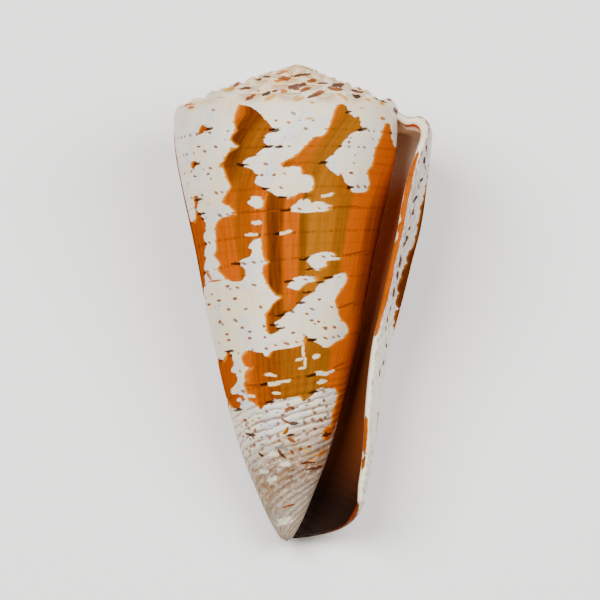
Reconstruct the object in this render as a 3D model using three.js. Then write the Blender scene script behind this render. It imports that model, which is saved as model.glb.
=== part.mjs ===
// Shell of an imperial cone, a sea snail. It lies on its back, aperture up and spire towards +Y.
// Millimetres, +Z up. The origin is on the surface it rests on, under the middle of its bounding box.
//
// The shell is one wall that grows round an axis. A turn counts revolutions of growth: 0 is the
// edge of the outer lip, and -1 is the same place one whorl earlier. Heights run along the axis
// from the narrow front end, 0, to the tip of the spire. Angles run round the axis in the
// direction of growth, from the shell's right side, seen with the aperture in front.
import * as THREE from "three";

// Size and growth
const shellLength = 80;
const whorlGrowth = 1.34; // each whorl is this many times as wide as the one before
const lipAngle = 35; // degrees from the right side to the edge of the outer lip
const widestRadius = 24; // of the shoulder at the lip
const spireTurns = 6; // whorls that show on the spire, before it runs into the rounded tip

// Outline of the side, half a turn and a bit behind the lip: [height, radius]
const outlineTurn = -0.6;
const sideOutline = [
  [0, 0.95],
  [3.5, 3.1],
  [8.6, 5.4],
  [13.7, 7.6],
  [19, 9.3],
  [29, 12],
  [39, 14.3],
  [49, 16.35],
  [59, 18.7],
  [65, 19.9],
  [71, 20.3],
  [80, 20.5],
];

// The outer lip stands off from the spiral, most of all at the front end
const flareTurns = 0.45;
const flareSteepness = 1.6;
const sideFlare = 2.6;
const sideFlareTop = 67;
const sideFlareBottom = 50;
const frontFlare = 7.6;
const frontFlareTop = 34;
const frontFlareBottom = 6;

// The lip's edge runs straight up the side, then bends back to the suture
const lipBendHeight = 52;
const lipBendEnd = 70;
const lipBendAngle = 23; // degrees

// Spire
const spireSlope = 0.34;
const spireTipRadius = 2.2;
const domeInset = 0.5; // the rounded tip's middle ring, as shares of the way to the tip
const domeRise = 0.8;
const lastWhorlDrop = 1.1;
const lastWhorlDropPower = 6;
const sutureDrop = 0.125; // of the whorl's radius, from a crest down to the next whorl's suture
const crestInset = 0.115; // of the whorl's radius, from the side in to the crest
const rampHollow = 0.022; // of the whorl's radius
const knobsPerTurn = 15;
const knobHeight = 0.026; // of the whorl's radius
const knobReach = 0.014;

// Wall and cavity
const wallThickness = 1.4;
const wallShareOfGap = 0.42;
const marginThickness = 0.5; // at the front end, where the wall thins out
const marginThickening = 0.1; // per millimetre of height
const rampThickness = 1.5;
const cavityTurns = 0.75; // how far the hollow runs in behind the lip
const frontOpeningTurns = 0.5; // how far the slit runs on round the front end
const lipCornerHeight = 10.5; // where the lip's edge turns into the front margin
const tipHeight = 0.35;
const marginSteepness = 4;
const cavityFloorHeight = 14; // of the hollow's inner end

// Rest
const restTilt = 12.9; // degrees that the spire end is raised
const restRoll = 0; // degrees about the shell's axis
const flatSpotDepth = 0.25; // worn off where the back touches the surface

// Facets
const columnsPerTurn = 60;
const rampRows = 3;
const shoulderRows = 2;
const crownRows = rampRows + shoulderRows;
const ceilingRow = crownRows + 1;
const sideRows = 14;
const lastRow = ceilingRow + sideRows;

const turnsToRadians = 2 * Math.PI;
const clamp = (value, low, high) => Math.min(Math.max(value, low), high);
const mix = (a, b, share) => a + (b - a) * share;
const ease = (share) => THREE.MathUtils.smoothstep(share, 0, 1);

// Smooth curve through the outline's points, by Catmull-Rom on the radius
function outlineRadius(height) {
  const last = sideOutline.length - 1;
  let i = sideOutline.findIndex(([h]) => h > height) - 1;
  if (i < -1) i = last - 1;
  i = clamp(i, 0, last - 1);
  const at = (k) => sideOutline[clamp(k, 0, last)];
  const slope = (k) => (at(k + 1)[1] - at(k - 1)[1]) / (at(k + 1)[0] - at(k - 1)[0]);
  const [h0, r0] = at(i);
  const [h1, r1] = at(i + 1);
  const span = h1 - h0;
  const t = clamp((height - h0) / span, 0, 1);
  const t2 = t * t;
  const t3 = t2 * t;
  return (
    r0 * (2 * t3 - 3 * t2 + 1) +
    slope(i) * span * (t3 - 2 * t2 + t) +
    r1 * (3 * t2 - 2 * t3) +
    slope(i + 1) * span * (t3 - t2)
  );
}

function lipFlare(turn, height) {
  const nearLip = clamp(1 + turn / flareTurns, 0, 2) ** flareSteepness;
  const side = sideFlare * ease((sideFlareTop - height) / (sideFlareTop - sideFlareBottom));
  const front = clamp((frontFlareTop - height) / (frontFlareTop - frontFlareBottom), 0, 1);
  return nearLip * (side + frontFlare * front ** 1.5);
}

const sideRadius = (turn, height) =>
  outlineRadius(height) * whorlGrowth ** (turn - outlineTurn) + lipFlare(turn, height);

const lipLag = (height) =>
  (lipBendAngle / 360) *
  clamp((height - lipBendHeight) / (lipBendEnd - lipBendHeight), 0, 1) ** 2;

const whorlRadius = (turn) => widestRadius * whorlGrowth ** turn;

function crestHeight(turn) {
  const radius = whorlRadius(turn);
  const slope = spireSlope * (Math.hypot(radius, spireTipRadius) - spireTipRadius);
  return shellLength - slope - lastWhorlDrop * (radius / widestRadius) ** lastWhorlDropPower;
}

const sutureHeight = (turn) => crestHeight(turn - 1) - sutureDrop * whorlRadius(turn - 1);
const nextSutureHeight = (turn) => sutureHeight(turn + 1);
const ceilingHeight = (turn) =>
  nextSutureHeight(turn) - rampThickness * Math.min(1, whorlGrowth ** (turn + 1));

// Low knobs crown the shoulder; their spacing wanders a little
const knob = (turn) =>
  Math.cos(turnsToRadians * (knobsPerTurn * turn + 0.22 * Math.sin(turnsToRadians * 2.3 * turn)));

// Radius and height of a point on the crown: the ramp, then the rounded shoulder
function crownPoint(turn, row) {
  const radius = whorlRadius(turn);
  const inner = { radius: sideRadius(turn - 1, sutureHeight(turn)), height: sutureHeight(turn) };
  const outer = {
    radius: sideRadius(turn, nextSutureHeight(turn)),
    height: nextSutureHeight(turn),
  };
  const crest = {
    radius: outer.radius - crestInset * radius + knobReach * radius * knob(turn),
    height: crestHeight(turn) + knobHeight * radius * (knob(turn) - 1),
  };
  if (row <= rampRows) {
    const share = row / rampRows;
    const hollow = rampHollow * radius * Math.sin(Math.PI * share);
    return {
      radius: mix(inner.radius, crest.radius, share),
      height: mix(inner.height, crest.height, share) - hollow,
    };
  }
  const bend = ((row - rampRows) / shoulderRows) * (Math.PI / 2);
  return {
    radius: mix(crest.radius, outer.radius, Math.sin(bend)),
    height: mix(outer.height, crest.height, Math.cos(bend)),
  };
}

// Height of the lowest row: the front tip, the margin behind the lip, or the hollow's floor
function bottomHeight(turn) {
  if (turn < -1 - frontOpeningTurns) {
    const inward = (-1 - frontOpeningTurns - turn) / (cavityTurns - frontOpeningTurns);
    return mix(tipHeight, cavityFloorHeight, inward);
  }
  const outward = clamp(1 + turn / frontOpeningTurns, 0, 1);
  return mix(tipHeight, lipCornerHeight, outward ** marginSteepness);
}

// Rows lie closer together towards the front end
function sideHeight(turn, row) {
  const share = (row - ceilingRow) / sideRows;
  return mix(ceilingHeight(turn), bottomHeight(turn), share * (1.25 - 0.25 * share));
}

function outerPoint(turn, row) {
  if (row <= crownRows) return crownPoint(turn - lipLag(shellLength), row);
  const height = sideHeight(turn - lipLag(shellLength), row);
  return { radius: sideRadius(turn - lipLag(height), height), height };
}

// The hollow's outer wall: the outer surface taken in by the wall's thickness
function innerPoint(turn, row) {
  const outside = outerPoint(turn, row);
  const roof = outerPoint(turn - 1, ceilingRow);
  if (row === 0) return roof;
  const lag = lipLag(outside.height);
  const share = clamp((row - crownRows) / (lastRow - crownRows), 0, 1);
  const height = outside.height - mix(rampThickness, 0, share ** 0.5);
  const side = sideRadius(turn - lag, height);
  const gap = side - sideRadius(turn - lag - 1, height);
  const thickness = Math.min(
    wallThickness,
    wallShareOfGap * gap,
    marginThickness + marginThickening * height,
  );
  if (row > crownRows) return { radius: side - thickness, height };
  const start = outerPoint(turn, 0).radius;
  const end = outerPoint(turn, crownRows).radius;
  const reach = (outside.radius - start) / (end - start);
  return { radius: mix(roof.radius, side - thickness, reach), height };
}

// The shell's own frame stands on its front end; the lying pose is set on the whole mesh
function toPosition(turn, point) {
  const angle = THREE.MathUtils.degToRad(lipAngle) + turnsToRadians * (turn - lipLag(point.height));
  return [point.radius * Math.cos(angle), -point.radius * Math.sin(angle), point.height];
}

class Surface {
  positions = [];
  faces = [];
  known = new Map();

  vertex(key, position) {
    if (!this.known.has(key)) {
      this.known.set(key, this.positions.length);
      this.positions.push(position);
    }
    return this.known.get(key);
  }

  triangle(a, b, c) {
    if (a !== b && b !== c && c !== a) this.faces.push(a, b, c);
  }

  // Faces between two rows of vertices, from first to last, with the faces looking to their right
  strip(left, right) {
    let i = 0;
    let j = 0;
    while (i < left.length - 1 || j < right.length - 1) {
      const nextLeft = (i + 1) / (left.length - 1 || 1);
      const nextRight = (j + 1) / (right.length - 1 || 1);
      if (j === right.length - 1 || (i < left.length - 1 && nextLeft <= nextRight)) {
        this.triangle(left[i], right[j], left[i + 1]);
        i += 1;
      } else {
        this.triangle(left[i], right[j], right[j + 1]);
        j += 1;
      }
    }
  }
}

const range = (from, to) => Array.from({ length: to - from + 1 }, (_, k) => from + k);

function shellGeometry() {
  const surface = new Surface();
  const firstColumn = -spireTurns * columnsPerTurn;
  const cavityColumns = Math.round(cavityTurns * columnsPerTurn);
  const openingColumns = Math.round(frontOpeningTurns * columnsPerTurn);

  // A whorl's inner edge is the line on the whorl before where it is built on
  const outer = (column, row) => {
    if (row === 0) return outer(column - columnsPerTurn, crownRows);
    const closing = -columnsPerTurn - openingColumns;
    if (row === lastRow && column === closing) return outer(-openingColumns, lastRow);
    const turn = column / columnsPerTurn;
    return surface.vertex(`outer ${column} ${row}`, toPosition(turn, outerPoint(turn, row)));
  };
  const inner = (column, row) => {
    const turn = column / columnsPerTurn;
    if (row === 0) return outer(column - columnsPerTurn, ceilingRow);
    if (row === lastRow && column <= -openingColumns)
      return outer(column - columnsPerTurn, lastRow);
    return surface.vertex(`inner ${column} ${row}`, toPosition(turn, innerPoint(turn, row)));
  };
  const outerColumn = (column, from, to) => range(from, to).map((row) => outer(column, row));
  const innerColumn = (column) => range(0, lastRow).map((row) => inner(column, row));

  // Spire and last whorl, then the hollow's inner and outer walls
  for (let column = firstColumn + columnsPerTurn; column < 0; column += 1) {
    const to = column < -columnsPerTurn ? crownRows : lastRow;
    surface.strip(outerColumn(column, 0, to), outerColumn(column + 1, 0, to));
  }
  for (let column = -cavityColumns; column < 0; column += 1) {
    const under = column - columnsPerTurn;
    surface.strip(
      outerColumn(under, ceilingRow, lastRow),
      outerColumn(under + 1, ceilingRow, lastRow),
    );
    surface.strip(innerColumn(column + 1), innerColumn(column));
  }

  // Blind end of the hollow, edge of the lip, and margin round the front end
  surface.strip(
    innerColumn(-cavityColumns),
    outerColumn(-cavityColumns - columnsPerTurn, ceilingRow, lastRow),
  );
  surface.strip(outerColumn(0, 0, lastRow), [
    outer(-columnsPerTurn, crownRows),
    ...innerColumn(0),
  ]);
  surface.strip(
    range(-openingColumns, 0).map((column) => inner(column, lastRow)),
    range(-openingColumns, 0).map((column) => outer(column, lastRow)),
  );

  // Front tip, and the tip of the spire
  const closeTo = (ring, point) => {
    const centre = surface.vertex(`centre ${point}`, point);
    ring.forEach((vertex, k) => surface.triangle(vertex, ring[(k + 1) % ring.length], centre));
  };
  const domeRing = (ring, point) => {
    const raised = ring.map((vertex, k) => {
      const from = surface.positions[vertex];
      const shares = [domeInset, domeInset, domeRise];
      return surface.vertex(
        `dome ${k}`,
        from.map((value, axis) => mix(value, point[axis], shares[axis])),
      );
    });
    surface.strip([...raised, raised[0]], [...ring, ring[0]]);
    return raised;
  };
  closeTo(
    range(-columnsPerTurn - openingColumns, -openingColumns - 1).map((c) => outer(c, lastRow)),
    [0, 0, 0],
  );
  const spireRing = range(firstColumn, firstColumn + columnsPerTurn).map((c) =>
    outer(c, crownRows),
  );
  const spireStep = outerColumn(firstColumn + columnsPerTurn, 1, crownRows - 1).reverse();
  const stepAngle = THREE.MathUtils.degToRad(lipAngle - lipBendAngle + 90);
  const beside = 0.35 * whorlRadius(-spireTurns);
  const spireTip = [
    -beside * Math.cos(stepAngle),
    beside * Math.sin(stepAngle),
    shellLength,
  ];
  closeTo(domeRing([...spireRing, ...spireStep].reverse(), spireTip), spireTip);

  const geometry = new THREE.BufferGeometry();
  geometry.setAttribute(
    "position",
    new THREE.Float32BufferAttribute(surface.positions.flat(), 3),
  );
  geometry.setIndex(surface.faces);
  return geometry;
}

// Lays the shell on its back and wears a flat spot where it touches the surface
function layDown(geometry) {
  geometry.rotateZ(THREE.MathUtils.degToRad(restRoll));
  geometry.rotateX(THREE.MathUtils.degToRad(-90 + restTilt));
  geometry.computeBoundingBox();
  const box = geometry.boundingBox;
  const middle = box.getCenter(new THREE.Vector3());
  geometry.translate(-middle.x, -middle.y, -box.min.z - flatSpotDepth);
  const position = geometry.getAttribute("position");
  for (let i = 0; i < position.count; i += 1)
    position.setZ(i, Math.max(0, position.getZ(i)));
  geometry.computeVertexNormals();
  return geometry;
}

const shell = new THREE.Mesh(
  layDown(shellGeometry()),
  new THREE.MeshStandardMaterial({ color: 0xd9b98a, roughness: 0.35, metalness: 0 }),
);
shell.name = "shell";

const coneShell = new THREE.Group();
coneShell.add(shell);

export default coneShell;
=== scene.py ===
import math

import bmesh
import bpy
import numpy as np
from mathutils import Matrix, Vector


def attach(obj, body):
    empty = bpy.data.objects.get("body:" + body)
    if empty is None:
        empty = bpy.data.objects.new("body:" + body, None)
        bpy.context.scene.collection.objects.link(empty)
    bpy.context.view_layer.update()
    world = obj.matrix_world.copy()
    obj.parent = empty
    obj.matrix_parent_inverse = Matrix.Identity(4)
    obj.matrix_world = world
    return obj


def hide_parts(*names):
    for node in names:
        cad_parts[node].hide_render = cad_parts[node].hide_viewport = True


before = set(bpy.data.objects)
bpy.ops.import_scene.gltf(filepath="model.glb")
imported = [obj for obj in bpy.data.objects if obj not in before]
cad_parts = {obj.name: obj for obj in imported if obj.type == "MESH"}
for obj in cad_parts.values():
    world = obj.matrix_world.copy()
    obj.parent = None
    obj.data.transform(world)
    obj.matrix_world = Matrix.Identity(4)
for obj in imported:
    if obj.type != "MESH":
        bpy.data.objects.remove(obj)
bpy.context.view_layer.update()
mm = 0.001
fullTurn = 2 * math.pi

# Shell. A turn is one revolution of growth, 0 at the edge of the lip. Heights are millimetres from the
# front end.
shellForm = {
    "length": 80.0,
    "growth": 1.34,
    "lipAngle": math.radians(35),
    "widest": 24.0,
    "spireTurns": 6,
    "outlineTurn": -0.6,
    "outline": [(0, 0.95), (3.5, 3.1), (8.6, 5.4), (13.7, 7.6), (19, 9.3), (29, 12), (39, 14.3),
                (49, 16.35), (59, 18.7), (65, 19.9), (71, 20.3), (80, 20.5)],
    "origin": (-1.5414, -39.05, 6.3636),  # of the shell's own axis, where it lies
    "raised": math.radians(-90 + 12.9),
    "skin": 0.08,  # taken off all round, so that rounder curves stay within the plain solid
    "columns": 288,  # in a turn
    "ramp": 7,  # rows
    "shoulder": 7,
    "roof": 4,
    "side": 116,
    "hollow": 0.5,  # turns
    "edgeSteps": 4,
    "tip": (0.30, -1.42, 80),
    "tipFrom": 78,
    "frontFrom": 0.36,
    "joined": 0.004,  # corners of two sheets nearer than this become one
    "sliver": 0.0005,
    "scar": {"rise": 0.16, "half": 2.5},  # the half widths are pixels of the back's picture
    "groove": {"deep": 0.06, "at": 5, "half": 3},
    "stripTurns": 0.3,
    "patternGrowth": 1.30,
    "patternTurn": 0.85,
}
crownRow = shellForm["ramp"] + shellForm["shoulder"]
roofRow = crownRow + shellForm["roof"]
lastRow = roofRow + shellForm["side"]


def ease(share):
    share = np.clip(share, 0, 1)
    return share * share * (3 - 2 * share)


def mix(a, b, share):
    return a + (b - a) * share


def outlineRadius(height):
    knots = np.array(shellForm["outline"])
    heights, radii = knots[:, 0], knots[:, 1]
    last = len(knots) - 1
    before = np.maximum(np.arange(last + 1) - 1, 0)
    after = np.minimum(np.arange(last + 1) + 1, last)
    slopes = (radii[after] - radii[before]) / (heights[after] - heights[before])
    i = np.clip(np.searchsorted(heights, height, side="right") - 1, 0, last - 1)
    span = heights[i + 1] - heights[i]
    t = np.clip((height - heights[i]) / span, 0, 1)
    return (radii[i] * (2 * t**3 - 3 * t**2 + 1) + slopes[i] * span * (t**3 - 2 * t**2 + t)
            + radii[i + 1] * (3 * t**2 - 2 * t**3) + slopes[i + 1] * span * (t**3 - t**2))


def lipFlare(turn, height):
    nearLip = np.clip(1 + turn / 0.45, 0, 2) ** 1.6
    front = np.clip((34 - height) / 28, 0, 1)
    return nearLip * (2.6 * ease((67 - height) / 17) + 7.6 * front**1.5)


def sideRadius(turn, height):
    grown = outlineRadius(height) * shellForm["growth"] ** (turn - shellForm["outlineTurn"])
    return grown + lipFlare(turn, height)


def lipLag(height):
    return (23 / 360) * np.clip((height - 52) / 18, 0, 1) ** 2


def whorlRadius(turn):
    return shellForm["widest"] * shellForm["growth"] ** turn


def crestHeight(turn):
    radius = whorlRadius(turn)
    drop = 0.34 * (np.hypot(radius, 2.2) - 2.2)
    return shellForm["length"] - drop - 1.1 * (radius / shellForm["widest"]) ** 6


def sutureHeight(turn):
    return crestHeight(turn - 1) - 0.125 * whorlRadius(turn - 1)


def roofHeight(turn):
    return sutureHeight(turn + 1) - 1.5 * np.minimum(1, shellForm["growth"] ** (turn + 1))


def knob(turn):
    wave = np.cos(fullTurn * (15 * turn + 0.22 * np.sin(fullTurn * 2.3 * turn)))
    return np.sign(wave) * np.abs(wave) ** 0.9


def crownPoint(turn, row):
    radius = whorlRadius(turn)
    inner = sideRadius(turn - 1, sutureHeight(turn)), sutureHeight(turn)
    outer = sideRadius(turn, sutureHeight(turn + 1)), sutureHeight(turn + 1)
    crest = (outer[0] + (0.014 * knob(turn) - 0.115) * radius,
             crestHeight(turn) + 0.026 * radius * (knob(turn) - 1))
    share = np.clip(row / shellForm["ramp"], 0, 1)
    hollow = 0.022 * radius * np.sin(math.pi * share)
    ramp = mix(inner[0], crest[0], share), mix(inner[1], crest[1], share) - hollow
    bend = np.clip((row - shellForm["ramp"]) / shellForm["shoulder"], 0, 1) * math.pi / 2
    shoulder = mix(crest[0], outer[0], np.sin(bend)), mix(outer[1], crest[1], np.cos(bend))
    onRamp = row <= shellForm["ramp"]
    return np.where(onRamp, ramp[0], shoulder[0]), np.where(onRamp, ramp[1], shoulder[1])


def bottomHeight(turn):
    return mix(0.35, 10.5, np.clip(1 + turn / 0.5, 0, 1) ** 4)


def sideHeight(turn, row):
    top = sutureHeight(turn + 1)
    roof = mix(top, roofHeight(turn), np.clip((row - crownRow) / shellForm["roof"], 0, 1))
    share = np.clip((row - roofRow) / shellForm["side"], 0, 1)
    return mix(roof, bottomHeight(turn), share * (0.88 + 0.12 * share))


def outerPoint(turn, row):
    crownTurn = turn - lipLag(80.0)
    crown = crownPoint(crownTurn, row)
    height = sideHeight(crownTurn, row)
    radius = sideRadius(turn - lipLag(height), height)
    onCrown = row <= crownRow
    return np.where(onCrown, crown[0], radius), np.where(onCrown, crown[1], height)


def innerPoint(turn, row):
    radius, outsideHeight = outerPoint(turn, row)
    roof = outerPoint(turn - 1, np.full_like(row, roofRow))
    lag = lipLag(outsideHeight)
    share = np.clip((row - crownRow) / (lastRow - crownRow), 0, 1)
    height = outsideHeight - mix(1.5, 0, share**0.5)
    side = sideRadius(turn - lag, height)
    gap = side - sideRadius(turn - lag - 1, height)
    thickness = np.minimum(np.minimum(1.4, 0.42 * gap), 0.5 + 0.1 * height)
    start = outerPoint(turn, np.zeros_like(row))[0]
    end = outerPoint(turn, np.full_like(row, crownRow))[0]
    reach = (radius - start) / (end - start)
    radius = np.where(row > crownRow, side - thickness, mix(roof[0], side - thickness, reach))
    height = np.where(row == 0, roof[1], height)
    return np.where(row == 0, roof[0], radius), height


def growthAngle(turn, height):
    return shellForm["lipAngle"] + fullTurn * (turn - lipLag(height))


def toPlace(turn, radius, height):
    angle = growthAngle(turn, height)
    return np.stack([radius * np.cos(angle), -radius * np.sin(angle), height], axis=1)


def outerPlace(turn, row):
    front = (row == lastRow) & (np.abs(turn + 1 + shellForm["hollow"]) < 1e-5)
    turn = np.where(front, turn + 1, turn)
    return toPlace(turn, *outerPoint(turn, row))


def innerPlace(turn, row):
    place = toPlace(turn, *innerPoint(turn, row))
    shut = (row == lastRow) & (turn < 1e-5 - shellForm["hollow"])
    place[shut] = outerPlace(turn[shut] - 1, row[shut])
    return place


def growthWay(turn, height):
    angle = growthAngle(turn, height)
    return np.stack([-np.sin(angle), -np.cos(angle), 0 * angle], axis=1)


def lipPlace(across, row):
    # the edge of the lip, rounded over from its outer face to its inner one
    still = np.zeros_like(row)
    outer, inner = outerPlace(still, row), innerPlace(still, row)
    share = across[:, None]
    bulge = np.minimum(0.35 * np.linalg.norm(outer - inner, axis=1), 0.45) * np.sin(math.pi * across)
    place = mix(outer, inner, share) + growthWay(still, outer[:, 2]) * bulge[:, None]
    seam = row == 0
    place[seam] = outerPlace(still[seam] - 1, crownRow + across[seam] * shellForm["roof"])
    return place


def marginPlace(turn, across):
    foot = np.full_like(turn, lastRow)
    outer, inner = outerPlace(turn, foot), innerPlace(turn, foot)
    bulge = np.minimum(0.3 * np.linalg.norm(outer - inner, axis=1), 0.3) * np.sin(math.pi * across)
    place = mix(outer, inner, across[:, None])
    place[:, 2] -= bulge * ease((place[:, 2] - 0.3) / 2)
    corner = turn > -1e-6
    place[corner] = lipPlace(across[corner], foot[corner])
    return place


# Where a point of the standing shell shows in the photo's two pictures, in pixels of its 600 by 600 frame
picture = {
    "perMm": 5.925,
    "mouthAxis": 446,
    "mouthDrift": -0.1,
    "mouthFoot": 541,
    "mouthTilt": math.radians(4),
    "backAxis": 145,
    "backDrift": 0.125,
    "backFoot": 534,
    "backTilt": math.radians(8),
    "backYaw": math.radians(12),
    "backEdges": [(130, 19, 273), (160, 19, 271), (190, 23, 264), (220, 30, 258), (250, 38, 250),
                  (280, 46, 244), (310, 53, 237), (340, 60, 230), (370, 66, 223), (400, 72, 215),
                  (430, 77, 207), (460, 82, 197), (475, 87, 190), (490, 94, 181), (505, 102, 176),
                  (520, 112, 169), (534, 143, 146)],
    "rows": [9.6, 10.9, 12.3, 13.7, 15.2, 16.6, 17.95, 19.6, 22, 23.5, 25.55, 27.5, 29.4, 31.5, 33.7, 35.6,
             37.3, 39.4, 42.4, 44.9, 47.55, 50.5, 53.55, 56.5, 58.5, 60.9, 64.6, 66.4, 68.1, 69.9, 71.6,
             73.3, 75, 76.6],  # depths in millimetres, every second one a strong row
}


def mouthPixels(place):
    x, y, height = place.T
    lifted = height * math.cos(picture["mouthTilt"]) - y * math.sin(picture["mouthTilt"])
    across = picture["mouthAxis"] + picture["mouthDrift"] * height + picture["perMm"] * x
    return np.stack([across, picture["mouthFoot"] - picture["perMm"] * lifted], axis=1)


def backPixels(place, turn, onSide):
    x, y, height = place.T
    lifted = height * math.cos(picture["backTilt"]) - y * math.sin(picture["backTilt"])
    down = picture["backFoot"] - picture["perMm"] * lifted
    swing = np.cos(growthAngle(turn, height) + picture["backYaw"])
    free = picture["backAxis"] + picture["backDrift"] * height - picture["perMm"] * np.hypot(x, y) * swing
    edges = np.array(picture["backEdges"], float)
    left, right = np.interp(down, edges[:, 0], edges[:, 1]), np.interp(down, edges[:, 0], edges[:, 2])
    return np.stack([np.where(onSide, right - (right - left) * (1 + swing) / 2, free), down], axis=1)


def distanceInside(spots, outline):
    # pixels from the outline, positive inside it
    points = np.array(outline, float)
    result = np.full(len(spots), -12.0)
    near = np.all((spots > points.min(axis=0) - 12) & (spots < points.max(axis=0) + 12), axis=1)
    x, y = spots[near].T
    nearest = np.full(len(x), 12.0)
    inside = np.zeros(len(x), bool)
    for (ax, ay), (bx, by) in zip(points, np.roll(points, -1, axis=0)):
        dx, dy = bx - ax, by - ay
        along = np.clip(((x - ax) * dx + (y - ay) * dy) / max(dx * dx + dy * dy, 1e-9), 0, 1)
        nearest = np.minimum(nearest, np.hypot(x - ax - along * dx, y - ay - along * dy))
        if ay != by:
            inside ^= ((ay > y) != (by > y)) & (x < ax + (y - ay) * dx / dy)
    result[near] = np.where(inside, nearest, -nearest)
    return result


def patchDistance(spots, patches, gaps):
    result = np.full(len(spots), -12.0)
    for outline in patches:
        result = np.maximum(result, distanceInside(spots, outline))
    for outline in gaps:
        result = np.minimum(result, -distanceInside(spots, outline))
    return result


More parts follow.
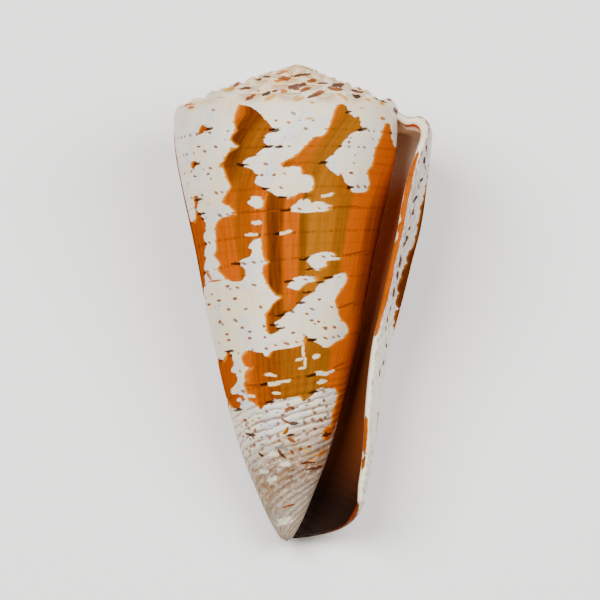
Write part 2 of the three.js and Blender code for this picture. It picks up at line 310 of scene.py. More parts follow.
# Brown patches on the mouth side, and white gaps in them
mouthPatches = [[(384, 109), (387, 110), (395, 111.5), (401, 115), (404, 117.5), (409, 122), (411, 125.5),
                 (415, 128), (417, 131), (421, 134), (421, 136.5), (416, 138), (412, 140), (410, 143),
                 (411, 147), (415, 150), (415, 151.5), (411, 153), (407, 156), (403, 160), (397, 162),
                 (392, 165), (390, 168), (391, 171), (396, 172), (401, 174), (403, 178), (407, 180.5),
                 (404, 183), (402, 185.5), (404, 188), (409, 190), (414, 192.5), (414, 215), (410, 242),
                 (403, 244), (402, 246), (400, 248), (397.5, 250.5), (399, 252.5), (402, 253), (403, 256),
                 (401, 260), (396, 262), (391, 263.5), (390, 266), (391, 269), (395, 270.5), (397, 274),
                 (396, 279), (394, 284), (388, 285.5), (382, 285), (376, 282), (372, 278), (368, 275),
                 (368, 271), (370, 268), (368, 265), (365, 262), (364, 257), (366, 253), (365, 250),
                 (365, 243), (364, 236), (364, 230), (366, 225), (370, 221.5), (379, 219.5), (384, 218),
                 (383, 216), (379, 213), (377, 210.5), (372, 209), (370, 206), (371, 202), (374, 198),
                 (377, 194), (378, 190), (375, 186), (373, 181), (371, 176), (369, 172), (365, 171),
                 (366, 168.5), (370, 166), (372, 161), (375, 156), (380, 153), (384, 151.5), (381, 150),
                 (377, 147), (376, 142), (378, 138), (382, 136), (380, 132), (379, 127), (380, 120),
                 (382, 114)],
                [(410, 243), (410, 215), (414, 192.5), (420, 196), (424, 199), (430, 200.5), (436, 202),
                 (441, 200.5), (444, 197), (450, 195.5), (456, 195), (459, 193), (460.5, 190), (460.5, 186),
                 (459, 181), (456, 179), (452, 178), (449, 178), (448, 174), (446, 171), (440, 170.5),
                 (435, 171.5), (430, 172), (427, 170), (429, 166), (433, 163.5), (439, 161), (444, 157),
                 (448, 152), (452, 149), (454, 145), (458, 142), (466, 140), (471, 136), (473, 131),
                 (475, 127), (477, 120), (479, 113), (482, 108), (487, 107.5), (490, 108.5), (492, 112),
                 (493, 116), (497, 119), (500, 121), (503, 118.5), (505, 122), (505, 126), (507, 130),
                 (510, 133), (506, 133.5), (501, 135), (497, 137), (492, 141), (489, 146), (487, 150),
                 (483, 154), (478, 159), (473, 163), (471.5, 166), (474, 170), (478, 174), (481, 177),
                 (485, 178), (488, 176), (490, 179), (492, 184), (496, 188), (499, 190.5), (498, 193),
                 (500, 194), (505, 194.5), (511, 194), (515, 191), (516, 185), (514, 178), (513, 173),
                 (514, 170), (518, 168), (519, 160), (520, 152), (523, 145), (526, 138), (527, 132),
                 (529, 127), (532, 124), (535, 127), (537, 132), (537, 140), (540, 147), (546, 150),
                 (546, 200), (536, 260), (528, 300), (520, 345), (505, 345), (499, 335), (500, 331),
                 (499, 328), (497, 325), (495, 323.5), (492, 321), (490, 317), (488, 313), (489, 310),
                 (487, 307), (485, 303), (486, 299), (488, 295), (490, 293), (493, 288), (496, 283),
                 (497, 278), (494, 274.5), (488, 276), (484, 278), (480, 281), (474, 283.5), (470, 286),
                 (467, 291), (463, 295), (459, 298), (455, 300), (453, 303), (453, 304.5), (450, 306),
                 (447, 309), (446, 311), (441, 313), (437, 314.5), (436, 317), (436, 319), (433, 321),
                 (430, 323), (427, 325), (427, 327.5), (430, 329), (434, 330.5), (434, 331.5), (430, 334),
                 (427, 336), (422, 337), (419, 335), (418, 331), (417.5, 326), (417, 320), (416.5, 317),
                 (417, 315), (420, 312), (422, 309), (423, 306), (426, 303), (430, 300), (432, 298.5),
                 (429, 297.5), (424, 296), (420, 291), (417, 286), (414, 281), (412, 274), (413, 268),
                 (418, 265), (414, 263), (412, 258), (411, 250)],
                [(395, 357), (397, 355.5), (401, 353), (408, 353), (414, 354), (417, 354), (417, 357),
                 (420, 358), (422, 357), (423, 353), (427, 351.5), (433, 350.5), (440, 349.5), (446, 348.5),
                 (450, 347), (457, 345), (456, 341), (455, 337), (454, 334), (457, 335), (460, 337.5),
                 (463, 339.5), (467, 341), (467, 343), (470, 343.5), (473, 345), (476, 348), (480, 348),
                 (484, 345), (488, 342), (493, 340), (497, 337), (499, 335), (506, 335), (515, 350),
                 (512, 380), (505, 400), (496, 420), (490, 425), (485, 418), (488, 411), (488, 408),
                 (490, 403), (491, 398), (492, 394), (490, 392), (488, 389), (484, 388), (480, 389),
                 (475, 389), (470, 391), (469, 395), (465, 398), (462, 400), (460, 402), (457, 403),
                 (455, 399), (452, 397), (446, 398), (438, 399.5), (432, 400), (427, 401), (425.5, 403.5),
                 (423, 406), (419, 408), (417, 411.5), (414, 411), (412, 408), (410, 406), (405, 404),
                 (402, 401), (400, 400), (401, 396), (400, 392), (398, 389), (396, 385), (397, 383),
                 (401, 381), (398, 380), (397, 377), (399, 374), (403, 371), (406, 369), (402, 369),
                 (398, 369), (396, 366), (394.5, 363), (394, 360)],
                [(341, 203), (342, 201), (345, 200.5), (348, 204), (347, 208), (345, 212), (346, 215),
                 (350, 217), (351, 222), (355, 226), (356, 230), (354, 237), (353, 241), (355, 245),
                 (357, 249), (355, 254), (355, 260), (357, 264), (359, 266), (356, 266), (355, 270),
                 (356, 276), (356, 283), (357, 288), (354, 291), (345, 292), (335, 260), (330, 228),
                 (343, 226), (344, 220), (343, 212)],
                [(379, 353), (382, 352), (384, 356), (386, 360), (388, 365), (388, 368), (385, 371),
                 (386, 375), (389, 376), (392, 379), (393, 381), (391, 385), (389, 389), (386, 391),
                 (385, 393), (387, 397), (391, 396.5), (396, 396.5), (400, 398), (402, 400), (399, 403),
                 (396, 406), (395, 410), (394, 413), (391, 411), (386, 411), (375, 395), (362, 360),
                 (372, 360), (376, 364), (379, 360)],
                [(345, 132), (349, 130.5), (355, 132), (357.5, 134.5), (355, 137), (350, 137), (346, 139),
                 (345, 142), (344, 138)],
                [(337, 168), (341, 166), (345, 167.5), (344, 171), (341, 175), (338, 173)],
                [(437, 434), (440, 430), (443, 427), (446, 427), (445, 431), (443, 435), (439, 436)],
                [(478, 433), (480, 427), (485, 427), (492, 400), (497, 402), (490, 430), (484, 442),
                 (479, 440)]]
mouthGaps = [[(400, 201), (404, 200.5), (409, 201), (411, 205), (411, 209), (408, 212), (404, 212),
              (401, 210), (397, 208), (396, 206), (398, 203)],
             [(438, 212), (440, 210), (444, 208), (447, 204), (449, 202.5), (450.5, 206), (452, 203),
              (455, 202), (457, 204), (459, 207), (461, 206), (464, 204.5), (469, 205), (474, 207),
              (479, 208.5), (478, 211), (473, 213.5), (464, 214.5), (454, 215.5), (446, 215), (440, 214.5)],
             [(456, 262), (459, 259), (464, 257), (469, 255), (475, 254), (481, 255), (486, 258), (490, 259),
              (488, 261), (482, 261.5), (476, 262.5), (474, 265), (476, 268), (471, 270), (468, 272),
              (463, 271), (461, 267), (458, 264.5)],
             [(437, 291), (439, 288), (441, 285), (444, 281), (448, 279.5), (456, 278.5), (464, 279),
              (468, 280), (465, 282.5), (459, 284), (454, 286), (451, 290), (448, 292), (444, 291),
              (441, 289)], [(391, 402), (394, 399.5), (396, 401), (394, 403.5)]]
# The same on the strip of the last whorl that shows beside the lip
stripPatches = [
    [(576, 163), (574.5, 172), (573.5, 180), (571.5, 190), (570, 200), (567.5, 206), (567.5, 212), (566, 222),
     (564.5, 232), (563, 240), (561, 247), (558, 252), (555.5, 256), (554.5, 260), (556, 263), (553, 268),
     (550.5, 272), (550, 276), (551, 279), (548.5, 282), (547, 286), (546.5, 291), (549, 293.5), (548, 296),
     (546, 300), (545.5, 304), (547.5, 308), (552, 309), (562, 290), (570, 262), (580, 215), (582, 163)],
    [(547.5, 310), (545.5, 314), (544, 318), (545.5, 321.5), (544.5, 327), (546, 332), (547, 337), (554, 333),
     (557, 318), (556, 309)],
    [(535, 403), (533.5, 410), (532, 418), (531.5, 430), (533, 438), (541, 434), (546, 410), (544, 402)],
]
# Brown patches on the back, and white gaps in them
backPatches = [[(83, 157), (86, 158), (91, 160), (92, 163), (91, 167), (95, 169), (98, 172), (98, 175),
                (99, 178), (104, 178), (109, 177), (111, 179), (113, 182), (116, 184), (117, 187),
                (121, 188.5), (123, 190), (120, 191), (117, 192), (116, 195), (118, 197), (121, 199),
                (120, 201), (122, 203), (127, 204), (130, 206), (133, 205), (135, 201), (139, 198),
                (143, 196), (147, 195), (150, 191), (152, 186), (151, 182), (146, 181), (141, 179),
                (139, 176), (136, 173), (140, 171.5), (145, 170), (149, 166), (148, 162), (145, 160),
                (146, 155), (148, 151), (150, 150), (152, 152), (153, 156), (157, 158), (163, 159),
                (170, 160), (171, 161), (167, 163), (162, 164), (161, 167), (162, 170), (164, 173),
                (168, 173), (172, 175), (176, 178), (180, 180), (185, 180), (187, 183), (191, 185),
                (188, 186.5), (182, 188), (178, 190), (174, 191), (171, 195), (168, 197), (165, 200),
                (162, 202), (164, 204), (160, 205), (150, 205), (146, 206), (145, 209), (149, 211),
                (152, 214), (153, 217), (150, 220), (146, 222), (145, 225), (141, 228), (138, 231),
                (140, 233), (143, 234), (150, 234), (153, 236), (153, 240), (156, 242), (162, 243),
                (168, 242), (171, 240), (176, 237), (181, 235), (184, 230), (187, 226), (190, 223),
                (195, 219), (200, 216), (205, 214), (209, 211), (208, 208), (203, 206), (200, 203),
                (203, 199), (206, 195), (208, 190), (212, 187), (218, 185), (220, 180), (217, 177),
                (213, 174), (211, 172), (203, 171), (202, 168), (203, 160), (202, 153), (203, 148),
                (203, 143), (205, 139), (207, 137), (210, 141), (215, 142), (217, 145), (220, 148),
                (222, 151), (226, 152), (231, 153), (234, 156), (237, 160), (239, 164), (240, 170),
                (241, 175), (243, 178), (247, 180), (245, 182), (240, 184), (236, 187), (233, 190),
                (234, 193), (237, 196), (239, 198), (236, 200), (233, 204), (235, 208), (232, 211),
                (228, 213), (224, 216), (223, 220), (225, 224), (228, 228), (227, 232), (229, 234.5),
                (236, 235), (241, 234), (245, 228), (248, 222), (250, 215), (251, 205), (254, 195),
                (258, 182), (262, 170), (264, 158), (266, 148), (267, 140), (268, 134), (270, 131),
                (273, 135), (285, 150), (280, 200), (265, 260), (250, 294), (240, 294), (236, 298),
                (233, 304), (230, 311), (226, 316), (224, 320), (222, 324), (221, 328), (222, 331),
                (219, 334), (217, 340), (213, 344), (211, 348), (209, 353), (205, 356), (201, 359),
                (199, 364), (199, 368), (203, 370), (206, 373), (207, 376), (212, 373), (217, 368),
                (221, 365), (225, 362), (226, 359), (240, 355), (235, 385), (222, 396), (218, 400),
                (213, 408), (210, 414), (207, 418), (204, 423), (200, 428), (199, 434), (198, 440),
                (197, 447), (195, 450), (192, 448), (192, 440), (193, 432), (191, 430), (186, 432),
                (183, 434), (178, 437), (172, 438), (166, 439), (160, 440), (156, 442), (152, 444),
                (148, 445.5), (142, 445), (133, 445.5), (131, 443), (129, 440), (127, 438), (121, 439),
                (118, 441), (114, 440), (113, 436), (111, 428), (110, 421), (108, 416), (109, 414),
                (115, 414), (119, 413), (121, 409), (119, 404), (119, 398), (119, 395), (124, 395),
                (130, 393), (137, 391), (144, 390), (150, 389), (155, 388.5), (160, 388.5), (170, 388),
                (172, 390), (176, 392), (181, 390), (185, 388), (183, 385), (188, 382), (190, 379),
                (188, 376), (186, 372), (186, 367), (188, 361), (190, 356), (194, 354), (200, 352),
                (203, 349), (200, 346), (199, 343), (196, 343), (195, 337), (195, 330), (192, 328),
                (192, 320), (192, 314), (188, 311), (184, 314), (178, 315), (172, 316), (168, 319),
                (165, 318), (167, 313), (166, 307), (164, 305), (168, 303), (167, 300), (163, 299),
                (155, 299), (148, 300), (140, 301), (134, 302), (132, 304), (134, 307), (140, 308),
                (148, 308), (152, 309), (150, 313), (149, 318), (153, 319), (156, 320), (153, 321.5),
                (149, 322), (146, 325), (143, 327), (139, 329), (136, 330), (133, 329), (130, 325),
                (129, 321), (126, 325), (122, 326), (115, 326), (110, 325), (109, 321), (106, 316),
                (104, 312), (105, 309), (108, 306), (105, 304.5), (100, 304), (94, 304), (88, 302), (86, 299),
                (89, 297), (93, 296.5), (99, 296), (106, 294), (103, 292), (99, 290), (95, 289), (94, 285),
                (96, 282), (104, 281), (106, 279), (104, 277.5), (98, 277), (95, 273), (90, 270), (84, 268),
                (80, 264), (76, 260), (73, 255), (73, 248), (74, 242), (79, 241), (76, 237), (72, 232),
                (70, 226), (68, 220), (66, 213), (66, 205), (67, 198), (69, 195), (71, 195), (73, 199),
                (78, 202), (81, 205), (80, 208), (75, 208), (72, 210), (73, 214), (71, 217), (74, 222),
                (76, 226), (82, 229), (85, 232), (86, 235), (92, 237), (95, 240), (99, 243), (97, 245),
                (95, 247), (96, 250), (99, 254), (100, 258), (104, 260), (110, 259.5), (120, 260), (130, 259),
                (134, 257), (135, 255.5), (132, 254), (128, 253), (127, 247), (127, 241), (124, 243),
                (122, 240), (125, 238), (128, 234), (122, 234), (116, 235.5), (113, 235), (115, 232),
                (113, 227), (111, 220), (110, 212), (110, 206), (107, 204), (102, 201), (100, 199), (99, 193),
                (98, 188), (95, 186), (91, 183), (86, 179), (82, 176), (79, 172.5), (75, 171), (73, 169),
                (75, 166), (77, 169), (81, 169), (81, 165), (81, 160)],
               [(37, 140), (36, 147), (38, 150), (41, 151), (41, 156), (43, 160), (45, 165), (46, 170),
                (48, 173), (52, 175), (53, 178), (48, 178.5), (43, 178), (40, 178), (39, 182), (41, 186),
                (45, 191), (44, 194), (39, 195), (38, 198), (41, 201), (44, 205), (48, 207), (53, 209),
                (55, 211), (50, 214), (46, 216), (43, 217), (43, 222), (44, 226), (42, 231), (43, 234),
                (48, 237), (51, 238.5), (53, 241), (55, 246), (57, 252), (58, 258), (62, 260), (64, 265),
                (66, 275), (68, 285), (70, 295), (71, 305), (73, 315), (75, 323), (73, 325), (66, 327),
                (61, 326), (50, 326), (42, 290), (36, 262), (38, 250), (37, 240), (34, 228), (31, 215),
                (29, 203), (28, 190), (28, 180), (28, 174), (31, 171), (35, 170), (33, 167), (31, 164),
                (30, 160), (29, 156), (31, 152), (33, 149), (36, 146)],
               [(79, 265), (83, 266), (84, 270), (81, 272), (79, 276), (80, 281), (83, 285), (87, 287),
                (89, 291), (88, 295), (84, 296), (79, 293), (77, 288), (75, 283), (72, 277), (70, 271),
                (66, 268), (65, 262), (64, 256), (67, 256), (68, 260), (71, 262), (70, 265), (70, 268),
                (74, 269), (76, 266)],
               [(116, 332), (122, 332), (128, 333), (133, 335), (136, 336.5), (139, 339.5), (144, 340),
                (140, 341), (134, 342), (130, 343), (126, 344), (129, 345), (128, 349), (122, 349.5),
                (117, 349), (117, 345), (121, 343.5), (119, 341), (116, 338), (115, 334)],
               [(145, 342), (148, 341), (152, 340), (158, 341), (163, 341), (159, 343), (153, 344),
                (150, 346), (151, 349), (156, 350.5), (160, 351.5), (162, 353), (167, 353.5), (170, 355.5),
                (168, 357.5), (164, 358), (161, 360), (157, 361.5), (155, 364), (155, 366), (151, 367),
                (146, 366), (143, 365.5), (147, 363.5), (151, 361), (155, 359), (157, 356.5), (154, 353),
                (149, 351), (145, 350), (144, 346)],
               [(101, 356), (104, 357), (108, 357.5), (113, 358.5), (116, 360.5), (113, 362), (110, 364),
                (109, 368), (106, 366), (105, 362), (102, 360)],
               [(119, 365), (126, 364.5), (131, 367), (136, 368), (140, 369), (141, 373), (138, 375),
                (142, 378), (140, 380), (141, 384), (138, 387), (136, 385), (135, 380), (133, 377),
                (129, 378), (126, 376), (126, 373), (123, 370), (120, 367)],
               [(90, 320), (95, 321), (98, 325), (99, 329), (104, 329), (104, 332), (99, 333), (96, 332),
                (95, 328), (92, 325)],
               [(80, 308), (84, 309), (86, 313), (88, 317), (86, 319), (82, 317), (80, 313)],
               [(50, 338), (64, 338), (66, 343), (66, 348), (68, 352), (68, 355), (65, 355), (55, 352)],
               [(103, 388), (106, 389), (110, 391.5), (114, 392), (117, 393.5), (114, 396), (110, 398),
                (110, 404), (112, 409), (108, 410), (103, 408), (99, 404), (98, 399), (101, 396.5),
                (105, 394)],
               [(60, 385), (73, 392), (75, 395), (78, 398), (84, 399), (88, 400), (91, 402), (93, 407),
                (95, 412), (97, 418), (100, 422), (101, 430), (103, 436), (106, 443), (107, 449), (104, 450),
                (100, 452), (96, 450), (93, 453), (88, 453), (84, 450), (82, 445), (70, 440)]]
backGaps = [[(176, 252), (178, 254), (184, 254), (192, 253), (200, 252), (204, 248), (205, 242), (202, 240),
             (196, 240), (190, 241), (187, 244), (182, 247), (178, 249)],
            [(202, 300), (205, 297), (208, 294), (212, 292), (217, 290.5), (222, 290), (221, 293), (217, 297),
             (216, 301), (221, 301), (226, 303), (225, 310), (223, 315), (220, 319), (214, 322.5), (209, 321),
             (208, 317), (210, 313), (208, 308), (205, 304)],
            [(124, 430), (128, 428), (134, 426.5), (140, 425), (144, 425), (143, 427.5), (138, 429),
             (131, 431)]]


# Single marks as strokes: two ends and a half width. The shader draws them as ellipses
mouthMarks = {"dark": [(417, 135, 424, 134.5, 1.8), (412, 151.3, 418, 150.8, 1.4),
                       (386, 169.8, 392, 169.3, 1.5), (411, 192.6, 416, 192.4, 1.2),
                       (427, 201.3, 434, 200.6, 1.3), (430, 214.2, 438, 213, 1.3),
                       (424, 237.3, 430, 236.6, 1.2), (383, 267.5, 390, 266.5, 1.3),
                       (467, 166.3, 473, 165.5, 1.3), (505, 132.5, 511, 131.5, 1.6),
                       (494, 190.3, 500, 189.6, 1.4), (491, 115.5, 495, 114.5, 1.2),
                       (451, 262, 457, 261, 1.3), (456, 271.5, 462, 270.8, 1.2), (435, 284, 441, 283, 1.3),
                       (475, 279.5, 481, 278.5, 1.1), (455, 294.5, 461, 293.5, 1.2),
                       (468, 284.3, 474, 283.6, 1.1), (449, 305.5, 455, 304.5, 1.3),
                       (428, 318, 436, 316.5, 1.4), (430, 330.4, 436, 329.6, 1.2),
                       (423, 327.4, 429, 326.6, 1.2), (462, 341.5, 468, 340.4, 1.4),
                       (415, 386.5, 421, 385.6, 1.4), (462, 376.8, 469, 375.2, 1.4),
                       (422, 403.6, 428, 402.4, 1.3), (443, 410.5, 449, 409, 1.5),
                       (380, 354.5, 386, 353.5, 1.3), (391, 412.3, 396, 411.5, 1.5),
                       (465, 393.5, 471, 392.3, 1.2), (353, 134.5, 358, 133.5, 1.5),
                       (422, 151.6, 428, 151, 1.2), (342, 169.6, 346, 168.8, 1.2),
                       (344, 204.5, 350, 203.5, 1.3), (347, 218.5, 353, 217.5, 1.2),
                       (446, 424.8, 453, 423.5, 1.6), (404, 436, 410, 436.8, 1.4),
                       (443, 436.4, 449, 435.6, 1.2), (409, 99.5, 413, 98, 1.6), (499, 98, 502, 98.5, 1.8),
                       (479, 436, 485, 434, 2), (416, 455, 419, 457, 1.3)],
              "rowLine": [(490, 309, 506, 303, 0.9), (488, 368, 498, 363, 0.9), (383, 217, 410, 215.3, 0.8),
                          (410, 215.3, 436, 213.6, 0.8), (480, 209.6, 506, 208, 0.7),
                          (490, 258, 520, 251, 0.8)],
              "purple": [(385, 93.3, 395, 92, 1.1), (435, 91.5, 447, 88.5, 2), (438, 92.5, 442, 92.5, 1.6),
                         (438, 79, 452, 76.8, 1.2), (408, 80.3, 413, 80, 1), (400, 83.3, 404, 83, 0.9),
                         (418, 96, 421, 95.2, 0.9), (453, 101.5, 461, 99, 1.1), (462, 86.2, 470, 86.2, 0.8),
                         (478, 88.5, 485, 87, 2), (496, 92.5, 501, 93.5, 1.1), (520, 100.5, 529, 103.5, 0.9),
                         (435, 452, 441, 458, 1.8), (460, 464, 472, 462, 1.2), (463, 470, 478, 467, 1.3),
                         (560, 117, 567, 119, 1), (545, 110, 556, 116, 0.8)],
              "rust": [(446, 94.5, 452, 92.5, 1.5), (424, 82.5, 432, 81.5, 1.7), (379, 89.5, 382, 87.5, 1.2),
                       (393, 103.5, 398, 100.5, 1.6), (459, 98, 467, 95.2, 1.6), (452, 84.5, 458, 83.5, 1.5),
                       (474, 91.5, 484, 92, 1.7), (502, 94.3, 506, 94, 1), (532, 100, 534, 101, 1.2),
                       (421, 124.8, 422, 125, 1.2), (386, 302, 387, 302, 1.3), (370, 304, 371, 304, 1.2),
                       (380, 312.5, 381, 312.5, 1.3), (397, 311.5, 398, 311.5, 1.2),
                       (412, 310, 413, 310, 1.2), (372, 324, 372, 326, 1.3), (394, 330.5, 395, 330.5, 1.3),
                       (402, 334, 403, 334, 1.3), (402, 340.5, 403, 340.5, 1.3), (417, 339, 418, 339, 1.2),
                       (416, 328.5, 417, 328.5, 1.2), (379, 337, 380, 337, 1.2), (381, 343, 382, 343, 1.2),
                       (419, 350.5, 420, 350.5, 1.3), (445, 334.5, 446, 334.5, 1.4),
                       (458, 315.5, 459, 315.5, 1.3), (463, 321.5, 464, 321.5, 1.4),
                       (470, 323, 471, 323, 1.2), (477, 329.5, 478, 329.5, 1.5),
                       (486, 328.5, 487, 328.5, 1.3), (470, 301, 471, 301, 1.2), (360, 308, 361, 308, 1.3),
                       (378, 289.5, 379, 289.5, 1.3), (362, 152, 363, 152, 1.2),
                       (345, 151.5, 346, 151.5, 1.2), (355, 179, 356, 179, 1.2), (342, 181, 343, 181, 1.2),
                       (409, 179, 410, 179, 1.2), (421, 179, 422, 179, 1.2), (426, 151, 427, 151, 1.2),
                       (494, 145, 495, 145, 1.2), (497, 176, 498, 176, 1.2), (441, 412, 446, 408.5, 1.6),
                       (403, 387.5, 414, 386.5, 1), (400, 422, 401, 422.3, 1.4), (436, 419.5, 446, 425, 1),
                       (445, 440, 450, 442, 1.5), (470, 429, 471, 429.5, 1.4), (476, 420, 477, 421, 1.5),
                       (456, 450, 457, 449.6, 1.4), (465, 447, 466, 446.5, 1.3), (448, 452, 450, 454, 1.3),
                       (441, 508, 452, 505, 1)],
              "orange": [(421, 84.5, 426, 83.5, 1.5), (422, 77, 430, 73.8, 1), (428, 95.5, 430, 95, 1.8),
                         (502, 87.5, 504, 91, 1.7), (532, 96.5, 534, 97.5, 2), (433, 126.8, 435, 127, 1.2),
                         (358.5, 115.3, 359.5, 115.7, 1.1), (330, 110.5, 338, 109.5, 1.3),
                         (334, 113, 338, 112.5, 1.3), (526, 120.5, 528, 121, 1.4), (357, 275, 361, 282, 1.4),
                         (361, 285, 371, 283.5, 1), (482, 451, 476, 456, 1.6)],
              "amber": [(371, 94, 377, 92.5, 1.7), (413, 104, 418, 101, 2), (441, 103.5, 445, 103, 2),
                        (525, 105, 527, 106, 1.2), (486, 98.5, 491, 103, 1.2), (483, 98, 484, 98, 1.5),
                        (456, 107, 458, 107, 1), (511, 102, 513, 102.5, 1.2), (505, 111, 507, 111, 0.9),
                        (453, 123, 457, 122.5, 1), (323, 160, 324, 184, 1.2), (462, 452, 466, 451, 1.2),
                        (470, 456, 475, 455, 1.3), (466, 461, 472, 459.5, 1.1)],
              "grey": [(438, 117.5, 439, 118.5, 1.8), (402, 95.2, 404, 95.2, 0.8), (431, 448, 443, 449.5, 2),
                       (420, 423, 421, 423.5, 1.2), (424, 437, 425, 437.3, 1.4), (418, 446, 420, 445, 1.2),
                       (451, 468, 458, 467.5, 1)],
              "white": [(402, 226.5, 409, 226.5, 1.6), (397, 238.2, 406, 238.2, 1.3),
                        (471, 199, 480, 196.5, 1.6), (430, 236.5, 439, 234.3, 1.6),
                        (467.5, 358.3, 471, 356.8, 1.8), (473, 383, 478.5, 381.6, 1.9),
                        (419, 376, 429, 377, 1.4), (428, 394.6, 434, 394.6, 1.2),
                        (401, 397.5, 409, 397.8, 1.4), (455.6, 347, 456.8, 358.5, 1.2),
                        (458, 358.5, 459, 367.5, 1.5), (453, 369.4, 458, 368.8, 1.1),
                        (450, 361.2, 456, 360, 1.2), (470.5, 374.4, 480, 374.2, 2),
                        (480, 373.8, 487, 371.6, 1.2), (424, 385.8, 432, 384.6, 1.9),
                        (432, 383.6, 443.5, 381.8, 1.3), (427, 455, 433, 455, 2.4), (438, 464, 445, 464, 2.4),
                        (426, 480, 432, 479, 2.2), (418, 473, 423, 473, 2.2), (438, 524, 449, 520, 3)],
              "interior": [(540, 112, 549, 118, 2.2)]}
stripMarks = {
    "dark": [(570.5, 159, 570, 163.5, 1.1), (568.5, 179.5, 567, 182.5, 1.1), (563.5, 197.5, 562, 201, 1.3),
             (561.5, 200, 560.5, 203, 0.9), (558.5, 228, 557, 230, 1), (555.5, 237, 554.5, 241, 1.2),
             (536.5, 361, 536, 365, 0.7)],
    "purple": [(572, 146, 572, 152, 0.8), (571, 166, 571.5, 170, 0.6), (565, 186, 566, 190, 0.6),
               (561, 211, 560, 215, 1.1), (553.5, 243, 552.5, 247, 1), (550, 257, 549, 267, 1),
               (547.5, 272, 546.8, 279, 1.2), (544.5, 289, 543.5, 298, 1.1), (541.5, 307, 541, 311, 0.6),
               (539, 318, 538.5, 323, 0.7), (537.5, 327, 537.5, 330, 0.7), (538.5, 344, 538.5, 347, 0.7),
               (533, 370, 532.5, 376, 0.7), (566, 127, 566.5, 124, 0.8), (564, 116.5, 569, 118, 0.8)],
    "amber": [(564.5, 120, 566, 126, 1.2)],
}
